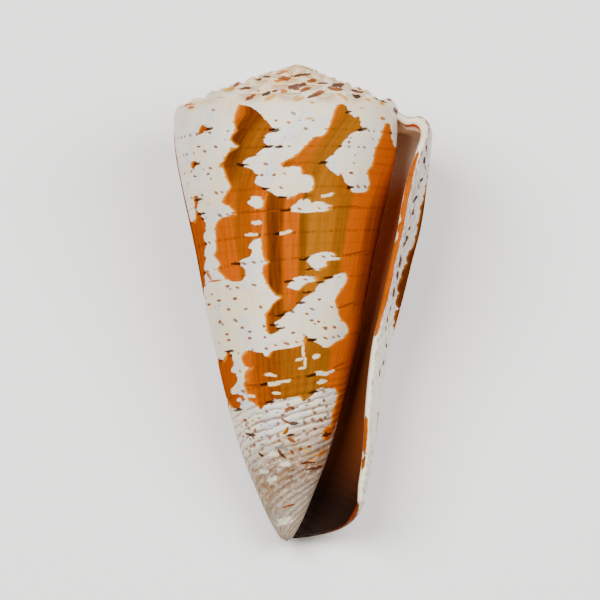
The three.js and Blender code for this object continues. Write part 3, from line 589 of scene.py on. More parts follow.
backMarks = {"dark": [(93, 173.5, 98, 174, 2.2), (117, 189.5, 123, 190, 1.4), (140, 208, 146, 207.5, 1.8),
                      (150, 217.5, 154, 218.5, 1.4), (136, 232, 140, 232, 1.8), (148, 241.3, 153, 241.8, 1.5),
                      (168, 252, 175, 252.5, 1.5), (98, 257, 101, 257.5, 1.8), (95, 243, 99, 243.3, 1.4),
                      (82, 232, 86, 233, 1.8), (77, 205.5, 81, 205.5, 1.6), (45, 177, 53, 177.5, 1.8),
                      (48, 210.5, 54, 211, 1.6), (58, 260, 63, 263, 1.6), (131, 305, 134, 306, 1.6),
                      (161, 173, 164, 176, 1.6), (219, 148, 222, 149.5, 1.3), (200, 408.5, 205, 406.5, 1.4),
                      (203, 374.5, 207, 375, 1.8), (159, 422.5, 166, 421.5, 1.5), (170, 401.5, 174, 401, 1.4),
                      (148, 388, 155, 388, 1.5), (112, 393.2, 118, 393.5, 1.4), (109, 361, 117, 361, 1.8),
                      (138, 326, 143, 325.5, 2), (96, 330, 99, 330, 1.6), (102, 330.5, 105, 330.5, 1.6),
                      (163, 356, 170, 355.5, 1.8), (146, 348, 150, 348, 1.7), (114, 351.5, 115, 351.5, 1.4),
                      (97, 352, 98, 353, 1.2), (81, 340.5, 82, 341, 1), (85, 361.5, 86, 363, 1.1),
                      (96, 383, 97, 384, 1.1), (177, 132.5, 190, 126, 2), (119, 136, 131, 130.5, 1.8),
                      (131, 130, 150, 125.5, 1.1), (150, 129, 158, 133, 1.1), (167, 125.5, 175, 124.5, 1),
                      (169, 119, 172, 117.5, 1.6), (24, 163, 26, 170, 1.3), (54, 163, 60, 151, 1),
                      (50, 136, 58, 132.5, 1.2), (69, 125, 74, 121, 2.2), (59, 123.5, 63, 120.5, 1.2),
                      (109, 104, 113, 102.3, 1), (101, 109.5, 108, 106, 1), (127, 474, 129, 476, 1.3),
                      (252, 109.5, 262, 113, 1.3), (91, 461, 93, 463, 1.2)],
             "purple": [(72, 108.5, 78, 106, 1.1), (93, 103, 108, 102.5, 0.9), (116.5, 85, 118, 83.8, 1.2),
                        (160, 87.5, 166, 86, 1), (156, 94, 172, 92, 0.9), (202, 100.5, 214, 104.5, 2.2),
                        (210, 102, 216, 104, 2.4), (212, 107, 213, 109, 1.5), (223, 113.5, 229, 115, 1.6),
                        (221, 116.7, 230, 117.5, 1.3), (237, 109.5, 243, 114.5, 1.2),
                        (203, 116.5, 210, 118, 1.5), (209, 117, 212, 120.5, 1.6), (185, 117, 191, 117, 1.5),
                        (26, 148, 28, 135, 0.9), (217, 246, 224, 246.5, 1.3), (219, 222, 224, 222.5, 1.3),
                        (236, 162, 241, 164, 1.4), (234, 198, 238, 198.5, 1.3), (203, 296, 206, 293, 1.5),
                        (208, 315.5, 212, 315.5, 1.2), (145, 425, 159, 423.5, 1.3),
                        (135, 485.5, 142, 485.5, 1.4), (167, 480, 171, 489, 2), (86, 292, 88, 293, 1.8),
                        (201, 122, 209, 124, 0.9)],
             "rust": [(63, 111, 66, 108.5, 1.3), (83, 103.8, 94, 102.5, 1.3), (105, 93.3, 109, 92.5, 1.1),
                      (136, 102, 136.5, 103, 1.8), (134, 113.5, 135, 114.5, 1.8),
                      (140, 110.5, 153, 105.5, 1.1), (151, 104.5, 160, 102.7, 1.2), (147, 121, 157, 121, 2.5),
                      (154, 138, 161, 134.5, 1.6), (127, 79, 129, 78.5, 1.3), (138, 88.6, 146, 88.6, 1.3),
                      (157, 97.5, 167, 94.5, 2), (188, 125.5, 193, 123.5, 1.2), (224, 128, 234, 124.5, 2.6),
                      (100, 128, 104, 133, 1.8), (229, 118, 243, 118.5, 1.1), (244, 108.5, 252, 108, 1.3),
                      (56, 133, 68, 132.8, 1.6), (35, 129.3, 42, 128.5, 1.3), (139, 146, 152, 143, 1.3),
                      (107, 155.3, 109, 155.3, 1.9), (71, 184.5, 72, 185, 1.4), (51, 193.3, 52, 193, 1.5),
                      (51, 166.5, 52, 166, 1.3), (47, 144, 49, 143, 1.4), (66, 257, 69, 262, 1.8),
                      (63, 234, 67, 236, 2), (56, 236.5, 57, 237, 1.4), (58, 247, 59, 247, 1.3),
                      (219, 340, 222, 337, 1.5), (163, 337, 169, 336, 1.3), (164, 368.5, 170, 368.5, 1),
                      (163, 375, 165, 375, 1.1), (168, 346, 170, 345.5, 1.4), (104, 344, 106, 344, 1.6),
                      (98, 337, 98, 338.5, 1.2), (70.5, 330, 70.5, 332, 1.2), (73, 384, 75, 386, 1.6),
                      (132, 460.5, 133, 460, 1.7), (105, 460, 107, 461, 1.3), (110, 475, 115, 476, 1.7),
                      (132, 473, 139, 475.5, 1.8), (117, 447, 121, 448, 2.2), (153, 452, 157, 452, 1.8),
                      (165, 470, 168, 480, 2), (157, 492.5, 163, 491, 1.8), (66, 143, 70, 139, 1.2)],
             "orange": [(113, 93.3, 119, 93.2, 0.9), (120, 96.5, 127, 97, 1.6), (131, 121, 134, 123, 1.1),
                        (142, 80, 147, 81, 1.1), (181, 86.5, 184, 86.3, 1.2), (187, 91, 192, 90.7, 1.3),
                        (193, 98.5, 203, 96, 2), (204, 82.8, 210, 83, 1.3), (212, 91, 216, 93, 1.4),
                        (225, 92, 231, 93, 1.5), (255, 118, 266, 120, 1.8), (231, 124, 241, 120.5, 1.6),
                        (103, 138.8, 107, 138.5, 1.3), (122, 140.5, 132, 140, 1.2),
                        (130, 147.5, 140, 146.3, 1.8), (30, 129, 31, 129, 1.8), (198, 129, 199, 131.5, 1.6),
                        (209, 130, 211, 132, 1.2), (78, 134, 81, 139, 2.4), (114, 250.5, 115, 250.5, 1.1),
                        (157, 331.5, 159, 331.5, 1.2), (206, 365, 207, 365, 1.3), (138, 350, 139, 350, 1.3),
                        (113, 384, 115, 384, 1.2), (185, 457, 186, 453, 2), (192, 455, 198, 448, 1.6),
                        (190, 466, 196, 456, 1.4), (147, 474.5, 156, 474.5, 1.5)],
             "amber": [(54, 104.5, 56, 106.5, 1.6), (80, 108, 95, 105.5, 1), (173, 113.5, 183, 114, 1.3),
                       (186, 136, 190, 136, 1.3), (229, 137, 234, 131, 1.7), (221, 107.5, 224, 108.5, 1.6),
                       (81, 128, 91, 125.5, 1.6), (141, 133, 145, 136, 1.6), (139, 166, 141, 170, 2.4),
                       (92, 219, 93, 219, 1.5), (184, 215.5, 188, 215, 1.1), (164, 223, 165, 223, 1.3),
                       (106, 481, 109, 483, 1.6), (188, 468, 190, 469, 1.6), (240, 144.5, 241, 145, 1.5)],
             "white": [(133, 418.5, 141, 416, 1.7), (141, 406.7, 148, 406, 1.5), (166, 422, 178, 418, 1.9),
                       (176, 418.5, 188, 414.2, 1.7), (173, 401.6, 189, 396, 1.7), (179, 409, 190, 405, 1.6),
                       (183, 426, 191, 422, 1.7), (205, 406.5, 211, 400, 1.7), (210, 401, 216, 395, 1.6),
                       (137, 249.7, 144, 248.2, 1.5), (158, 276, 166, 274.8, 1.5),
                       (184, 262, 191, 260.2, 1.7), (160, 289.4, 164, 288.6, 1.2),
                       (143, 396.5, 148, 395.5, 1.3), (133, 398, 137, 397, 1.1), (79, 432, 82, 436, 2.4)],
             "pale": [(91, 393, 94, 405, 1.7), (94, 405, 99, 416, 2), (99, 416, 105, 424, 1.9),
                      (105, 424, 110, 435, 1.8), (110, 435, 112, 442, 1.5)]}
markKinds = ["dark", "rowLine", "purple", "rust", "orange", "amber", "grey", "white", "interior", "pale"]

# Streaks run with the growth lines: pixel column at a given height of the picture, warmth and darkness of
# the brown
mouthStreaks = [(140, None,
                 [(345, 1, 0.5), (371, 1, 0), (378, 0.9, 0.25), (385, 0.7, 0.95), (396, 0.5, 0.95),
                  (404, 0.3, 0.6), (415, 0.3, 0.5), (421, 0.6, 0.5), (440, 0.5, 0.6), (468, 0.7, 0.2),
                  (474, 0.3, 0.3), (480, 0, 0.4), (487, 0, 0.35), (492, 0, 0.2), (500, 0, 0.25),
                  (505, 0.6, 0.3), (512, 0.7, 0.4), (524, 1, -0.1), (545, 1, 0)]),
                (245, (160, 215),
                 [(345, 1, 0.35), (364, 1, 0.2), (367, 1, 0), (384, 1, 0.1), (388, 0.7, 0.45),
                  (400, 0.7, 0.45), (405, 0.9, 0.1), (415, 0.9, 0.1), (418, 0.8, 0.95), (430, 0.8, 0.85),
                  (434, 0.9, 0.15), (447, 0.9, 0.15), (450, 0.1, 0.75), (455, 0.1, 0.6), (458, 0, 0.05),
                  (480, 0, 0.1), (483, 0.15, 0.4), (492, 0.15, 0.4), (495, 1, 0), (509, 1, 0), (513, 1, 0.5),
                  # the dark stops from column 525 on, at the mouth's edge, are the lip's cast shadow painted
                  # into the brown
                  (522, 1, 0.5), (525, 1, 0.9), (534, 1, 1)]),
                (370, (290, 340),
                 [(385, 1, 0.35), (394, 1, 0), (405, 0.95, 0.15), (409, 0.75, 0.55), (430, 0.6, 0.7),
                  (434, 0.3, 0.55), (455, 0.15, 0.4), (462, 0.1, 0.4), (480, 0.1, 0.45), (484, 1, 0.05),
                  (495, 1, 0.05), (501, 1, 0.15), (507, 0.9, 0.5)])]
backStreaks = [(165, None,
                [(30, 1, 0), (34, 1, 0.35), (41, 0.4, 0.6), (47, 0.8, 0.2), (80, 0.8, 0.3), (86, 0.6, 0.65),
                 (97, 0.3, 0.9), (101, 1, 0.1), (105, 0.8, 0.5), (110, 0.3, 0.8), (120, 0.3, 0.8),
                 (137, 1, 0.2), (148, 0.6, 0.5), (157, 0.4, 0.65), (167, 0.5, 0.5), (180, 0.2, 0.35),
                 (190, 0.3, 0.4), (200, 1, -0.1), (206, 0.95, 0.1), (211, 0.2, 0.2), (222, 0.1, 0.1),
                 (230, 0.5, 0.1), (240, 0.2, 0.3), (258, 0.9, 0), (264, 1, 0.3), (272, 0.9, 0.6)]),
               (250, (175, 215),
                [(36, 1, 0.2), (40, 1, 0.4), (45, 0.9, 0.7), (52, 0.6, 0.6), (62, 0.2, 0.8), (72, 1, 0.1),
                 (79, 1, 0.4), (84, 0.7, 0.75), (92, 0.6, 0.4), (98, 0.3, 0.8), (105, 0.5, 0.8),
                 (110, 1, 0.45), (120, 0.8, 0.55), (128, 0.9, 0.85), (136, 0.5, 0.65), (143, 0.2, 0.55),
                 (148, 0.9, 0.5), (162, 0.8, 0.5), (165, 0.2, 0.2), (178, 0.1, 0.2), (182, 0.9, 0.1),
                 (192, 1, 0), (200, 1, -0.1), (207, 0.9, 0.1), (211, 0.2, 0.1), (221, 0.2, 0.2),
                 (225, 1, -0.05), (236, 1, 0), (241, 1, 0.45), (250, 0.9, 0.8)]),
               (410, (315, 360),
                [(76, 1, 0.45), (86, 0.9, 0.55), (93, 0.6, 0.5), (98, 0.1, 0.3), (104, 1, 0.4),
                 (118, 0.9, 0.45), (128, 0.9, 0.5), (138, 0.7, 0.65), (150, 0.8, 0.4), (160, 0.4, 0.3),
                 (172, 0.2, 0.2), (180, 0.4, 0.2), (190, 0.7, 0.1), (200, 0.3, 0.15), (206, 0.9, 0.2),
                 (212, 1, 0.5)])]
# Orange on the lip's edge: pixel row of the mouth side's picture, and where across the lip it starts and
# stops
lipOrange = [(150, 0.5, 0.3), (153, 0.3, 0.66), (160, 0.12, 0.71), (170, 0.1, 0.84), (180, 0.1, 0.91),
             (190, 0.15, 1), (197, 0.2, 1), (199, 0.35, 0.96), (202, 0.22, 0.96), (210, 0.15, 1),
             (216, 0.15, 1), (218.5, 0.5, 1), (223, 0.55, 1), (226, 0.1, 1), (231, 0.1, 1),
             (233.5, 0.45, 0.96), (241, 0.6, 0.96), (243, 0.1, 0.96), (250, 0.05, 0.96), (270, 0.05, 0.91),
             (280, 0.05, 1), (300, 0.05, 0.96), (320, 0.05, 0.81), (330, 0.1, 0.81), (336, 0.2, 0.71),
             (339, 0.5, 0.3), (414, 0.5, 0.3), (417, 0.08, 0.76), (430, 0.05, 0.81), (450, 0.1, 0.76),
             (452, 0.45, 0.76), (456, 0.45, 0.76), (458, 0.1, 0.78), (467, 0.25, 0.76), (471, 0.6, 0.4)]


def streakTone(turn, pixelRows, streaks, placing):
    tone = None
    for level, change, stops in streaks:
        height = np.full_like(turn, (540 - level) / picture["perMm"])
        place = toPlace(turn, sideRadius(turn - lipLag(height), height), height)
        column = placing(place, turn)
        table = np.array(stops, float)
        here = np.stack([np.interp(column, table[:, 0], table[:, 1]),
                         np.interp(column, table[:, 0], table[:, 2])])
        if change:
            here = mix(tone, here, ease((pixelRows - change[0]) / (change[1] - change[0])))
        tone = here
    return tone


def patternFacts(name, turn, row, place):
    mouth = mouthPixels(place)
    back = backPixels(place, turn, row > crownRow)
    toMouth = np.sin(growthAngle(turn, place[:, 2]) + math.radians(6)) / math.sin(math.radians(4))
    share = ease(0.5 + toMouth / 2)
    strip = (turn > -shellForm["stripTurns"]) & (name == "body")
    patch, edge = np.full(len(turn), -12.0), np.zeros(len(turn))
    if name in ("body", "spire", "wall"):
        step = np.array([1.5, 0])
        for chosen, spots, weight, patches, gaps in [
                ((share > 0) & ~strip, mouth, share, mouthPatches, mouthGaps),
                ((share > 0) & strip, mouth, share, stripPatches, []),
                (share < 1, back, 1 - share, backPatches, backGaps)]:
            near = spots[chosen]
            middle = patchDistance(near, patches, gaps)
            rise = (patchDistance(near + step, patches, gaps) - patchDistance(near - step, patches, gaps)) / 3
            patch[chosen] += (middle + 12) * weight[chosen]
            edge[chosen] += rise * weight[chosen]
    if name == "lip":
        table = np.array(lipOrange, float)
        start, stop = (np.interp(mouth[:, 1], table[:, 0], table[:, 1]),
                       np.interp(mouth[:, 1], table[:, 0], table[:, 2]))
        patch = np.minimum(1 - turn - start, stop - 1 + turn) * 10
    growth = turn * 0 if name in ("lip", "margin") else turn
    facing = streakTone(growth, mouth[:, 1], mouthStreaks, lambda spots, turns: mouthPixels(spots)[:, 0])
    behind = streakTone(growth, back[:, 1], backStreaks,
                        lambda spots, turns: backPixels(spots, turns, turns < 9)[:, 0])
    warmth, darkness = mix(behind, facing, share)
    if name == "lip":
        warmth, darkness = 0.75 + 0 * turn, 0.22 + 0.2 * (mouth[:, 1] > 400)
    return {"patch": patch, "edge": edge, "warmth": warmth, "darkness": darkness}, mouth, back, share, strip


def markFacts(name, corners, mouth, back, share, strip):
    # each face keeps one mark, so its corners can hold their exact place within that mark
    faces = corners.reshape(-1, 4)
    along, across = np.full(faces.shape, 5.0), np.full(faces.shape, 5.0)
    kind = np.zeros(faces.shape)
    if name in ("body", "spire", "wall"):
        onMouth = share[faces].mean(axis=1) > 0.5
        onStrip = strip[faces].all(axis=1)
        for chosen, spots, marks in [(onMouth & ~onStrip, mouth, mouthMarks),
                                     (onMouth & onStrip, mouth, stripMarks), (~onMouth, back, backMarks)]:
            picked = np.flatnonzero(chosen)
            corner = spots[faces[picked]]
            centre = corner.mean(axis=1)
            best = np.full(len(picked), 5.0)
            for label, strokes in marks.items():
                for x0, y0, x1, y1, half in strokes:
                    middle = np.array([(x0 + x1) / 2, (y0 + y1) / 2])
                    reach = math.hypot(x1 - x0, y1 - y0) / 2
                    way = np.array([x1 - x0, y1 - y0]) / (2 * reach) if reach > 0 else np.array([1.0, 0.0])
                    shift = centre - middle
                    u, v = shift @ way, shift @ np.array([-way[1], way[0]])
                    gap = np.hypot(np.maximum(np.abs(u) - reach, 0), v) - half
                    wins = np.flatnonzero(gap < best)
                    best[wins] = gap[wins]
                    shift = corner[wins] - middle
                    along[picked[wins]] = shift @ way / (reach + half)
                    across[picked[wins]] = shift @ np.array([-way[1], way[0]]) / half
                    kind[picked[wins]] = markKinds.index(label)
    return {"markAlong": along.ravel(), "markAcross": across.ravel(), "markKind": kind.ravel()}


# A healed break in the back's wall, as points down the back's picture
scarLine = [(32, 131), (60, 240), (75, 330), (90, 395), (105, 430), (118, 450)]


def scarDistance(spots):
    line = np.array(scarLine, float)
    along = np.interp(spots[:, 1], line[:, 1], line[:, 0])
    return np.where((spots[:, 1] > 125) & (spots[:, 1] < 455), np.clip(spots[:, 0] - along, -12, 12), 12.0)


# Each sheet: what it is, how its grid runs, and how a point of the grid finds its place
columns = shellForm["columns"]
hollowColumns = round(shellForm["hollow"] * columns)
sheets = [("body", columns, lastRow, (-1, 0), (0, lastRow), outerPlace),
          ("spire", columns * (shellForm["spireTurns"] - 1), crownRow, (-shellForm["spireTurns"], -1),
           (0, crownRow), outerPlace),
          ("wall", hollowColumns, lastRow - roofRow, (-1 - shellForm["hollow"], -1), (roofRow, lastRow),
           outerPlace),
          ("inside", hollowColumns, lastRow, (-shellForm["hollow"], 0), (0, lastRow), innerPlace),
          ("lip", shellForm["edgeSteps"], lastRow, (0, 1), (0, lastRow), lipPlace),
          ("margin", hollowColumns, shellForm["edgeSteps"], (-shellForm["hollow"], 0), (0, 1), marginPlace)]
shellForm["zones"] = {name: k for k, (name, *_) in enumerate(sheets)}


def buildSheet(name, across, down, turns, rows, placing):
    bm = bmesh.new()
    bmesh.ops.create_grid(bm, x_segments=across, y_segments=down, size=0.5)
    mesh = bpy.data.meshes.new(name)
    bm.to_mesh(mesh)
    bm.free()
    flat = np.empty(len(mesh.vertices) * 3)
    mesh.vertices.foreach_get("co", flat)
    flat = flat.reshape(-1, 3)
    along = np.round((flat[:, 0] + 0.5) * across) / across
    over = np.round((flat[:, 1] + 0.5) * down) / down
    turn = turns[0] + along * (turns[1] - turns[0])
    row = rows[0] + over * (rows[1] - rows[0])
    place = placing(turn, row)
    mesh.vertices.foreach_set("co", place.ravel())
    return mesh, turn, row, place


def addFacts(mesh, name, turn, row, place):
    # values that the finish reads, kept per face corner so that seams between sheets stay sharp
    corners = np.empty(len(mesh.loops), dtype=np.int32)
    mesh.loops.foreach_get("vertex_index", corners)
    growth = turn * 0 if name in ("lip", "margin") else turn
    grown = growth - lipLag(place[:, 2]) + shellForm["patternTurn"]
    depth = (shellForm["length"] - place[:, 2]) * shellForm["patternGrowth"] ** -grown
    pattern, mouth, back, share, strip = patternFacts(name, turn, row, place)
    facts = {"turn": growth, "depth": depth, "zone": turn * 0 + shellForm["zones"][name],
             "rowAt": np.interp(depth, picture["rows"], np.arange(len(picture["rows"]))),
             "scar": np.where(share < 0.5, scarDistance(back), 12.0), "knob": knob(turn - lipLag(80.0)),
             "across": row - 0.35 * ease(1 + turn / 0.08) if name == "margin" else turn,
             "crownAt": np.minimum(row, 20) if name in ("body", "spire") else turn * 0 + 20, **pattern}
    facts = {label: values[corners] for label, values in facts.items()}
    facts.update(markFacts(name, corners, mouth, back, share, strip))
    for label, values in facts.items():
        layer = mesh.attributes.new(label, "FLOAT", "CORNER")
        layer.data.foreach_set("value", values.astype(np.float32))


def layDown(points):
    # from the shell standing on its front end to the way it lies, with its flat spot
    cosine, sine = math.cos(shellForm["raised"]), math.sin(shellForm["raised"])
    x, y, z = points.T
    lying = np.stack([x, y * cosine - z * sine, y * sine + z * cosine], axis=1)
    lying += np.array(shellForm["origin"])
    lying[:, 2] = np.maximum(lying[:, 2], 0)
    return lying * mm


bm = bmesh.new()
for name, across, down, turns, rows, placing in sheets:
    mesh, turn, row, place = buildSheet(name, across, down, turns, rows, placing)
    addFacts(mesh, name, turn, row, place)
    bm.from_mesh(mesh)
    bpy.data.meshes.remove(mesh)
    print("sheet", name, len(bm.verts))
bmesh.ops.remove_doubles(bm, verts=bm.verts, dist=shellForm["joined"])
bmesh.ops.dissolve_degenerate(bm, edges=bm.edges, dist=shellForm["sliver"])


def closeTip(isTip, tip, rise):
    # rings drawn in to the tip, rounded like a dome
    ring = [edge for edge in bm.edges if edge.is_boundary and all(isTip(vert.co.z) for vert in edge.verts)]
    starts = {vert: vert.co.copy() for edge in ring for vert in edge.verts}
    for share in (0.25, 0.5, 0.72, 0.9):
        made = bmesh.ops.extrude_edge_only(bm, edges=ring)["geom"]
        fresh = [item for item in made if isinstance(item, bmesh.types.BMVert)]
        placed = {}
        for vert in fresh:
            source = min((other for edge in vert.link_edges for other in edge.verts if other in starts),
                         key=lambda other: (other.co - vert.co).length)
            placed[vert] = starts[source]
        for vert, start in placed.items():
            vert.co.xy = start.xy.lerp(tip.xy, share)
            vert.co.z = start.z + (tip.z - start.z) * (1 - (1 - share) ** rise)
        starts = placed
        ring = [item for item in made if isinstance(item, bmesh.types.BMEdge)]
    filled = bmesh.ops.edgeloop_fill(bm, edges=ring)["faces"]
    centre = bmesh.ops.poke(bm, faces=filled)["verts"][0]
    centre.co = tip
    for loop in centre.link_loops:
        for layer in bm.loops.layers.float.values():
            loop[layer] = loop.link_loop_next[layer]


closeTip(lambda height: height > shellForm["tipFrom"], Vector(shellForm["tip"]), 1.6)
closeTip(lambda height: height < shellForm["frontFrom"], Vector((0, 0, 0)), 2)
openEdges = [edge for edge in bm.edges if edge.is_boundary]
bmesh.ops.holes_fill(bm, edges=openEdges, sides=0)
bmesh.ops.recalc_face_normals(bm, faces=bm.faces)
if bm.calc_volume(signed=True) < 0:
    bmesh.ops.reverse_faces(bm, faces=bm.faces)
stillOpen = sum(1 for edge in bm.edges if not edge.is_manifold)
print("not closed", stillOpen, "faces", len(bm.faces), "triangles",
      sum(len(face.verts) - 2 for face in bm.faces))
shellMesh = bpy.data.meshes.new("shell")
bm.to_mesh(shellMesh)
bm.free()
points = np.empty(len(shellMesh.vertices) * 3)
shellMesh.vertices.foreach_get("co", points)
points = points.reshape(-1, 3)
corners = np.empty(len(shellMesh.loops), dtype=np.int32)
shellMesh.loops.foreach_get("vertex_index", corners)
facts = {}
for name in ("scar", "zone"):
    values = np.empty(len(corners), dtype=np.float32)
    shellMesh.attributes[name].data.foreach_get("value", values)
    facts[name] = np.zeros(len(points))
    facts[name][corners] = values
outward = np.empty(len(points) * 3)
shellMesh.vertex_normals.foreach_get("vector", outward)
outward = outward.reshape(-1, 3)
scar, groove = shellForm["scar"], shellForm["groove"]
scarRise = (scar["rise"] * np.exp(-(facts["scar"] / scar["half"]) ** 2)
            - groove["deep"] * np.exp(-((facts["scar"] - groove["at"]) / groove["half"]) ** 2))
isOuter = facts["zone"] < 1.5
raised = np.where(isOuter, scarRise, 0) - shellForm["skin"]
points = points + outward * raised[:, None]
shellMesh.vertices.foreach_set("co", layDown(points).ravel())
shellMesh.polygons.foreach_set("use_smooth", [True] * len(shellMesh.polygons))
shellPiece = bpy.data.objects.new("coneShell", shellMesh)
bpy.context.scene.collection.objects.link(shellPiece)
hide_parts("shell")
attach(shellPiece, "root")


def srgb(code):
    parts = [int(code[k:k + 2], 16) / 255 for k in (0, 2, 4)]
    return tuple(p / 12.92 if p <= 0.04045 else ((p + 0.055) / 1.055) ** 2.4 for p in parts) + (1.0,)


# Glazed shell: white porcelain glaze with brown patches, rows of dots and a dark mouth. The white has a
# soft sheen. The brown has none, because a white studio would bleach it at the sides of the shell.
look = bpy.data.materials.new("glazedShell")
look.use_nodes = True
tree = look.node_tree
shader = tree.nodes["Principled BSDF"]
# Colours of the glaze, by sRGB hex
# the cord-gap brown is partly the grooves' tan brown and partly painted shade between the cords
# the lighter knob-top cream is a painted highlight; the knob-gap brown is painted shade, partly the orange at
# the knobs' bases
# the pale top of the mouth is a painted glow of light through the thin lip, over the interior's tan
# the suture brown is painted shade in the crease between whorls
glaze = {"white": "d0c8ba", "cream": "d2c2a2", "cool": "bfbfbc", "coldStain": "b3b8be", "warmStain": "cdb39c",
         "growthLine": "8e8272", "redDot": "7c3c08", "greenDot": "5a4c26", "crown": "cabb9c",
         "crownPeach": "c6a272", "crownLine": "8a5640", "crownFleck": "6a3418", "knobGapOrangeAndShade": "a67848",
         "knobTopHighlight": "d8d0c0", "suture": "74492c", "strip": "bcaea6", "stripDash": "806a60",
         "stripPale": "d2c9ba", "stripPaleDash": "9a8c7c", "speck": "6c380c", "front": "825a33",
         "frontDark": "4a2c14", "frontPale": "b8ae9b", "frontSpot": "4c2c16", "frontFlake": "cfc6b4",
         "frontGrey": "8f8574", "bead": "c6beae", "cordGapShade": "6a3f1c", "wave": "6a4020", "orange": "a64900",
         "mustard": "8b520d", "rustDark": "4c1c00", "umber": "482a0b", "thread": "381400", "amber": "c47614",
         "tip": "210d05", "markFringe": "a0682c", "gapFringe": "b87c20", "mouthWarm": "e08c58",
         "mouthDeep": "d8905c", "mouthBrown": "904722", "mouthDark": "20120c", "mouthTopGlow": "ffe8cc",
         "rim": "9a3a04", "rimFront": "6a2404", "lip": "d9cdb8", "lipCream": "d6c2a0", "lipInner": "c88a50",
         "margin": "d6c4a2", "marginInner": "5c2406"}
tint = {name: srgb(code) for name, code in glaze.items()}
markTint = {
    "dark": "1e0b05", "rowLine": "6e3000", "purple": "42180e", "rust": "6a2f0a", "orange": "a0520c",
    "amber": "b88434", "grey": "6f6a5c", "white": "c9bfa6", "interior": "501600", "pale": "bfa882",
}
# Patterns in the glaze: size of a lump in millimetres, and detail
lump = {"cloud": (7.6923, 3.0), "frontSpot": (1.1111, 3.0), "blot": (0.9091, 1.0), "grain": (0.6667, 3.0),
        "ragged": (0.3846, 1.0)}
speckSize = 1.2821
stainSize = 3.3333
dashSize = (0.4167, 2.381, 0.4167)
# Patterns that follow the growth: lumps in a turn, lumps in a millimetre down the side, start and detail
growthLumps = {"fine": (150.0, 0.12, 0.0, 2.0), "wide": (42.0, 0.06, 0.0, 2.0),
               "thread": (420.0, 1.0, 0.0, 2.0), "crownFleck": (34.0, 1.6, 9.0, 3.0),
               "speckGroup": (24.0, 0.5, 0.0, 2.0), "cordBend": (9.0, 0.3, 0.0, 2.0),
               "wave": (16.0, 1.3, 12.0, 3.0), "frontCloud": (11.0, 0.8, 3.0, 6.0)}
# Heights of the fine relief in millimetres
reliefHeight = {"growth": 0.035, "rows": -0.012, "cords": 0.075, "knobs": 0.16, "front": 0.25,
                "grain": 0.008}
smooth = {"interpolation_type": "SMOOTHSTEP"}
colors = {"data_type": "RGBA"}
plus, minus, times, timesPlus = ({"operation": name}
                                 for name in ("ADD", "SUBTRACT", "MULTIPLY", "MULTIPLY_ADD"))


def node(kind, *sockets, out=0, **settings):
    # settings come first, because they decide which inputs are in use
    made = tree.nodes.new("ShaderNode" + kind)
    for key, value in settings.items():
        setattr(made, key, value)
    usedInputs = [socket for socket in made.inputs if socket.enabled]
    pairs = sockets[0].items() if sockets and isinstance(sockets[0], dict) else enumerate(sockets)
    for where, value in pairs:
        socket = made.inputs[where] if isinstance(where, str) else usedInputs[where]
        if isinstance(value, bpy.types.NodeSocket):
            tree.links.new(value, socket)
        else:
            socket.default_value = value
    usedOutputs = [socket for socket in made.outputs if socket.enabled]
    return made.outputs[out] if isinstance(out, str) else usedOutputs[out]


factNames = ["turn", "depth", "zone", "rowAt", "patch", "edge", "warmth", "darkness", "markAlong",
             "markAcross", "markKind", "knob", "crownAt", "across"]
fact = {name: node("Attribute", attribute_name=name, out="Fac") for name in factNames}
place = node("TexCoord", out="Object")
noise = {name: node("TexNoise", {"Vector": place, "Scale": 1000 / size, "Detail": detail}, out="Fac")
         for name, (size, detail) in lump.items()}
for name, (perTurn, perMm, start, detail) in growthLumps.items():
    point = node("CombineXYZ", node("Math", fact["turn"], perTurn, **times),
                 node("Math", fact["depth"], perMm, **times), start)
    noise[name] = node("TexNoise", {"Vector": point, "Scale": 1.0, "Detail": detail}, out="Fac")
sway = {name: node("Math", noise[name], 0.5, **minus) for name in ("fine", "wide", "ragged", "blot")}
noise["frontCloud"].node.inputs["Roughness"].default_value = 0.65
noise["frontSpot"].node.inputs["Roughness"].default_value = 0.7

# rows of the spiral: whole numbers of rowAt are rows, even ones strong
rowNumber = node("Math", fact["rowAt"], operation="ROUND")
rowGap = node("Math", fact["depth"], 0.03, 1.2, **timesPlus)
offRow = node("Math", node("Math", fact["rowAt"], rowNumber, **minus), rowGap, **times)
strong = node("Math", node("Math", node("Math", rowNumber, 0.5, **times), operation="FRACT"), 0.25,
              operation="LESS_THAN")
onRows = node("Math", node("MapRange", fact["rowAt"], 0.2, 0.8, **smooth),
              node("Math", fact["rowAt"], 25.6, operation="LESS_THAN"), **times)
nearRow = node("MapRange", node("Math", offRow, operation="ABSOLUTE"), 0.34, 0.1, **smooth)

# small dots along the rows
girth = node("Math", fact["depth"], -1.3, 135.0, **timesPlus)
cellAt = node("Math", rowNumber, 0.37,
              node("Math", node("Math", fact["turn"], girth, **times), 1.7, operation="DIVIDE"), **timesPlus)
cell = node("Math", cellAt, operation="FLOOR")
chance = node("CombineXYZ", cell, rowNumber, 0.0)
luck = node("TexWhiteNoise", {"Vector": chance}, out="Color", noise_dimensions="3D")
luckR, luckG, luckB = (node("SeparateColor", luck, out=k) for k in range(3))
inCell = node("Math", node("Math", cellAt, operation="FRACT"), 0.5, **minus)
offCell = node("Math", node("Math", node("Math", luckR, 0.5, **minus), -0.5, inCell, **timesPlus), 1.3,
               **times)
dotSpan = node("Math", node("Math", offRow, offRow, node("Math", offCell, offCell, **times), **timesPlus),
               operation="SQRT")
dotSize = node("Math", node("Math", luckG, 0.18, 0.12, **timesPlus),
               node("Math", strong, 0.4, 0.6, **timesPlus), **times)
dotHere = node("MapRange", node("Math", dotSpan, dotSize, **minus), 0.1, -0.06, **smooth)
dotKept = node("Math", luckB, node("Math", strong, -0.42, 0.72, **timesPlus), operation="GREATER_THAN")
dots = node("Math", node("Math", dotHere, dotKept, **times), node("Math", onRows, 0.9, **times), **times)

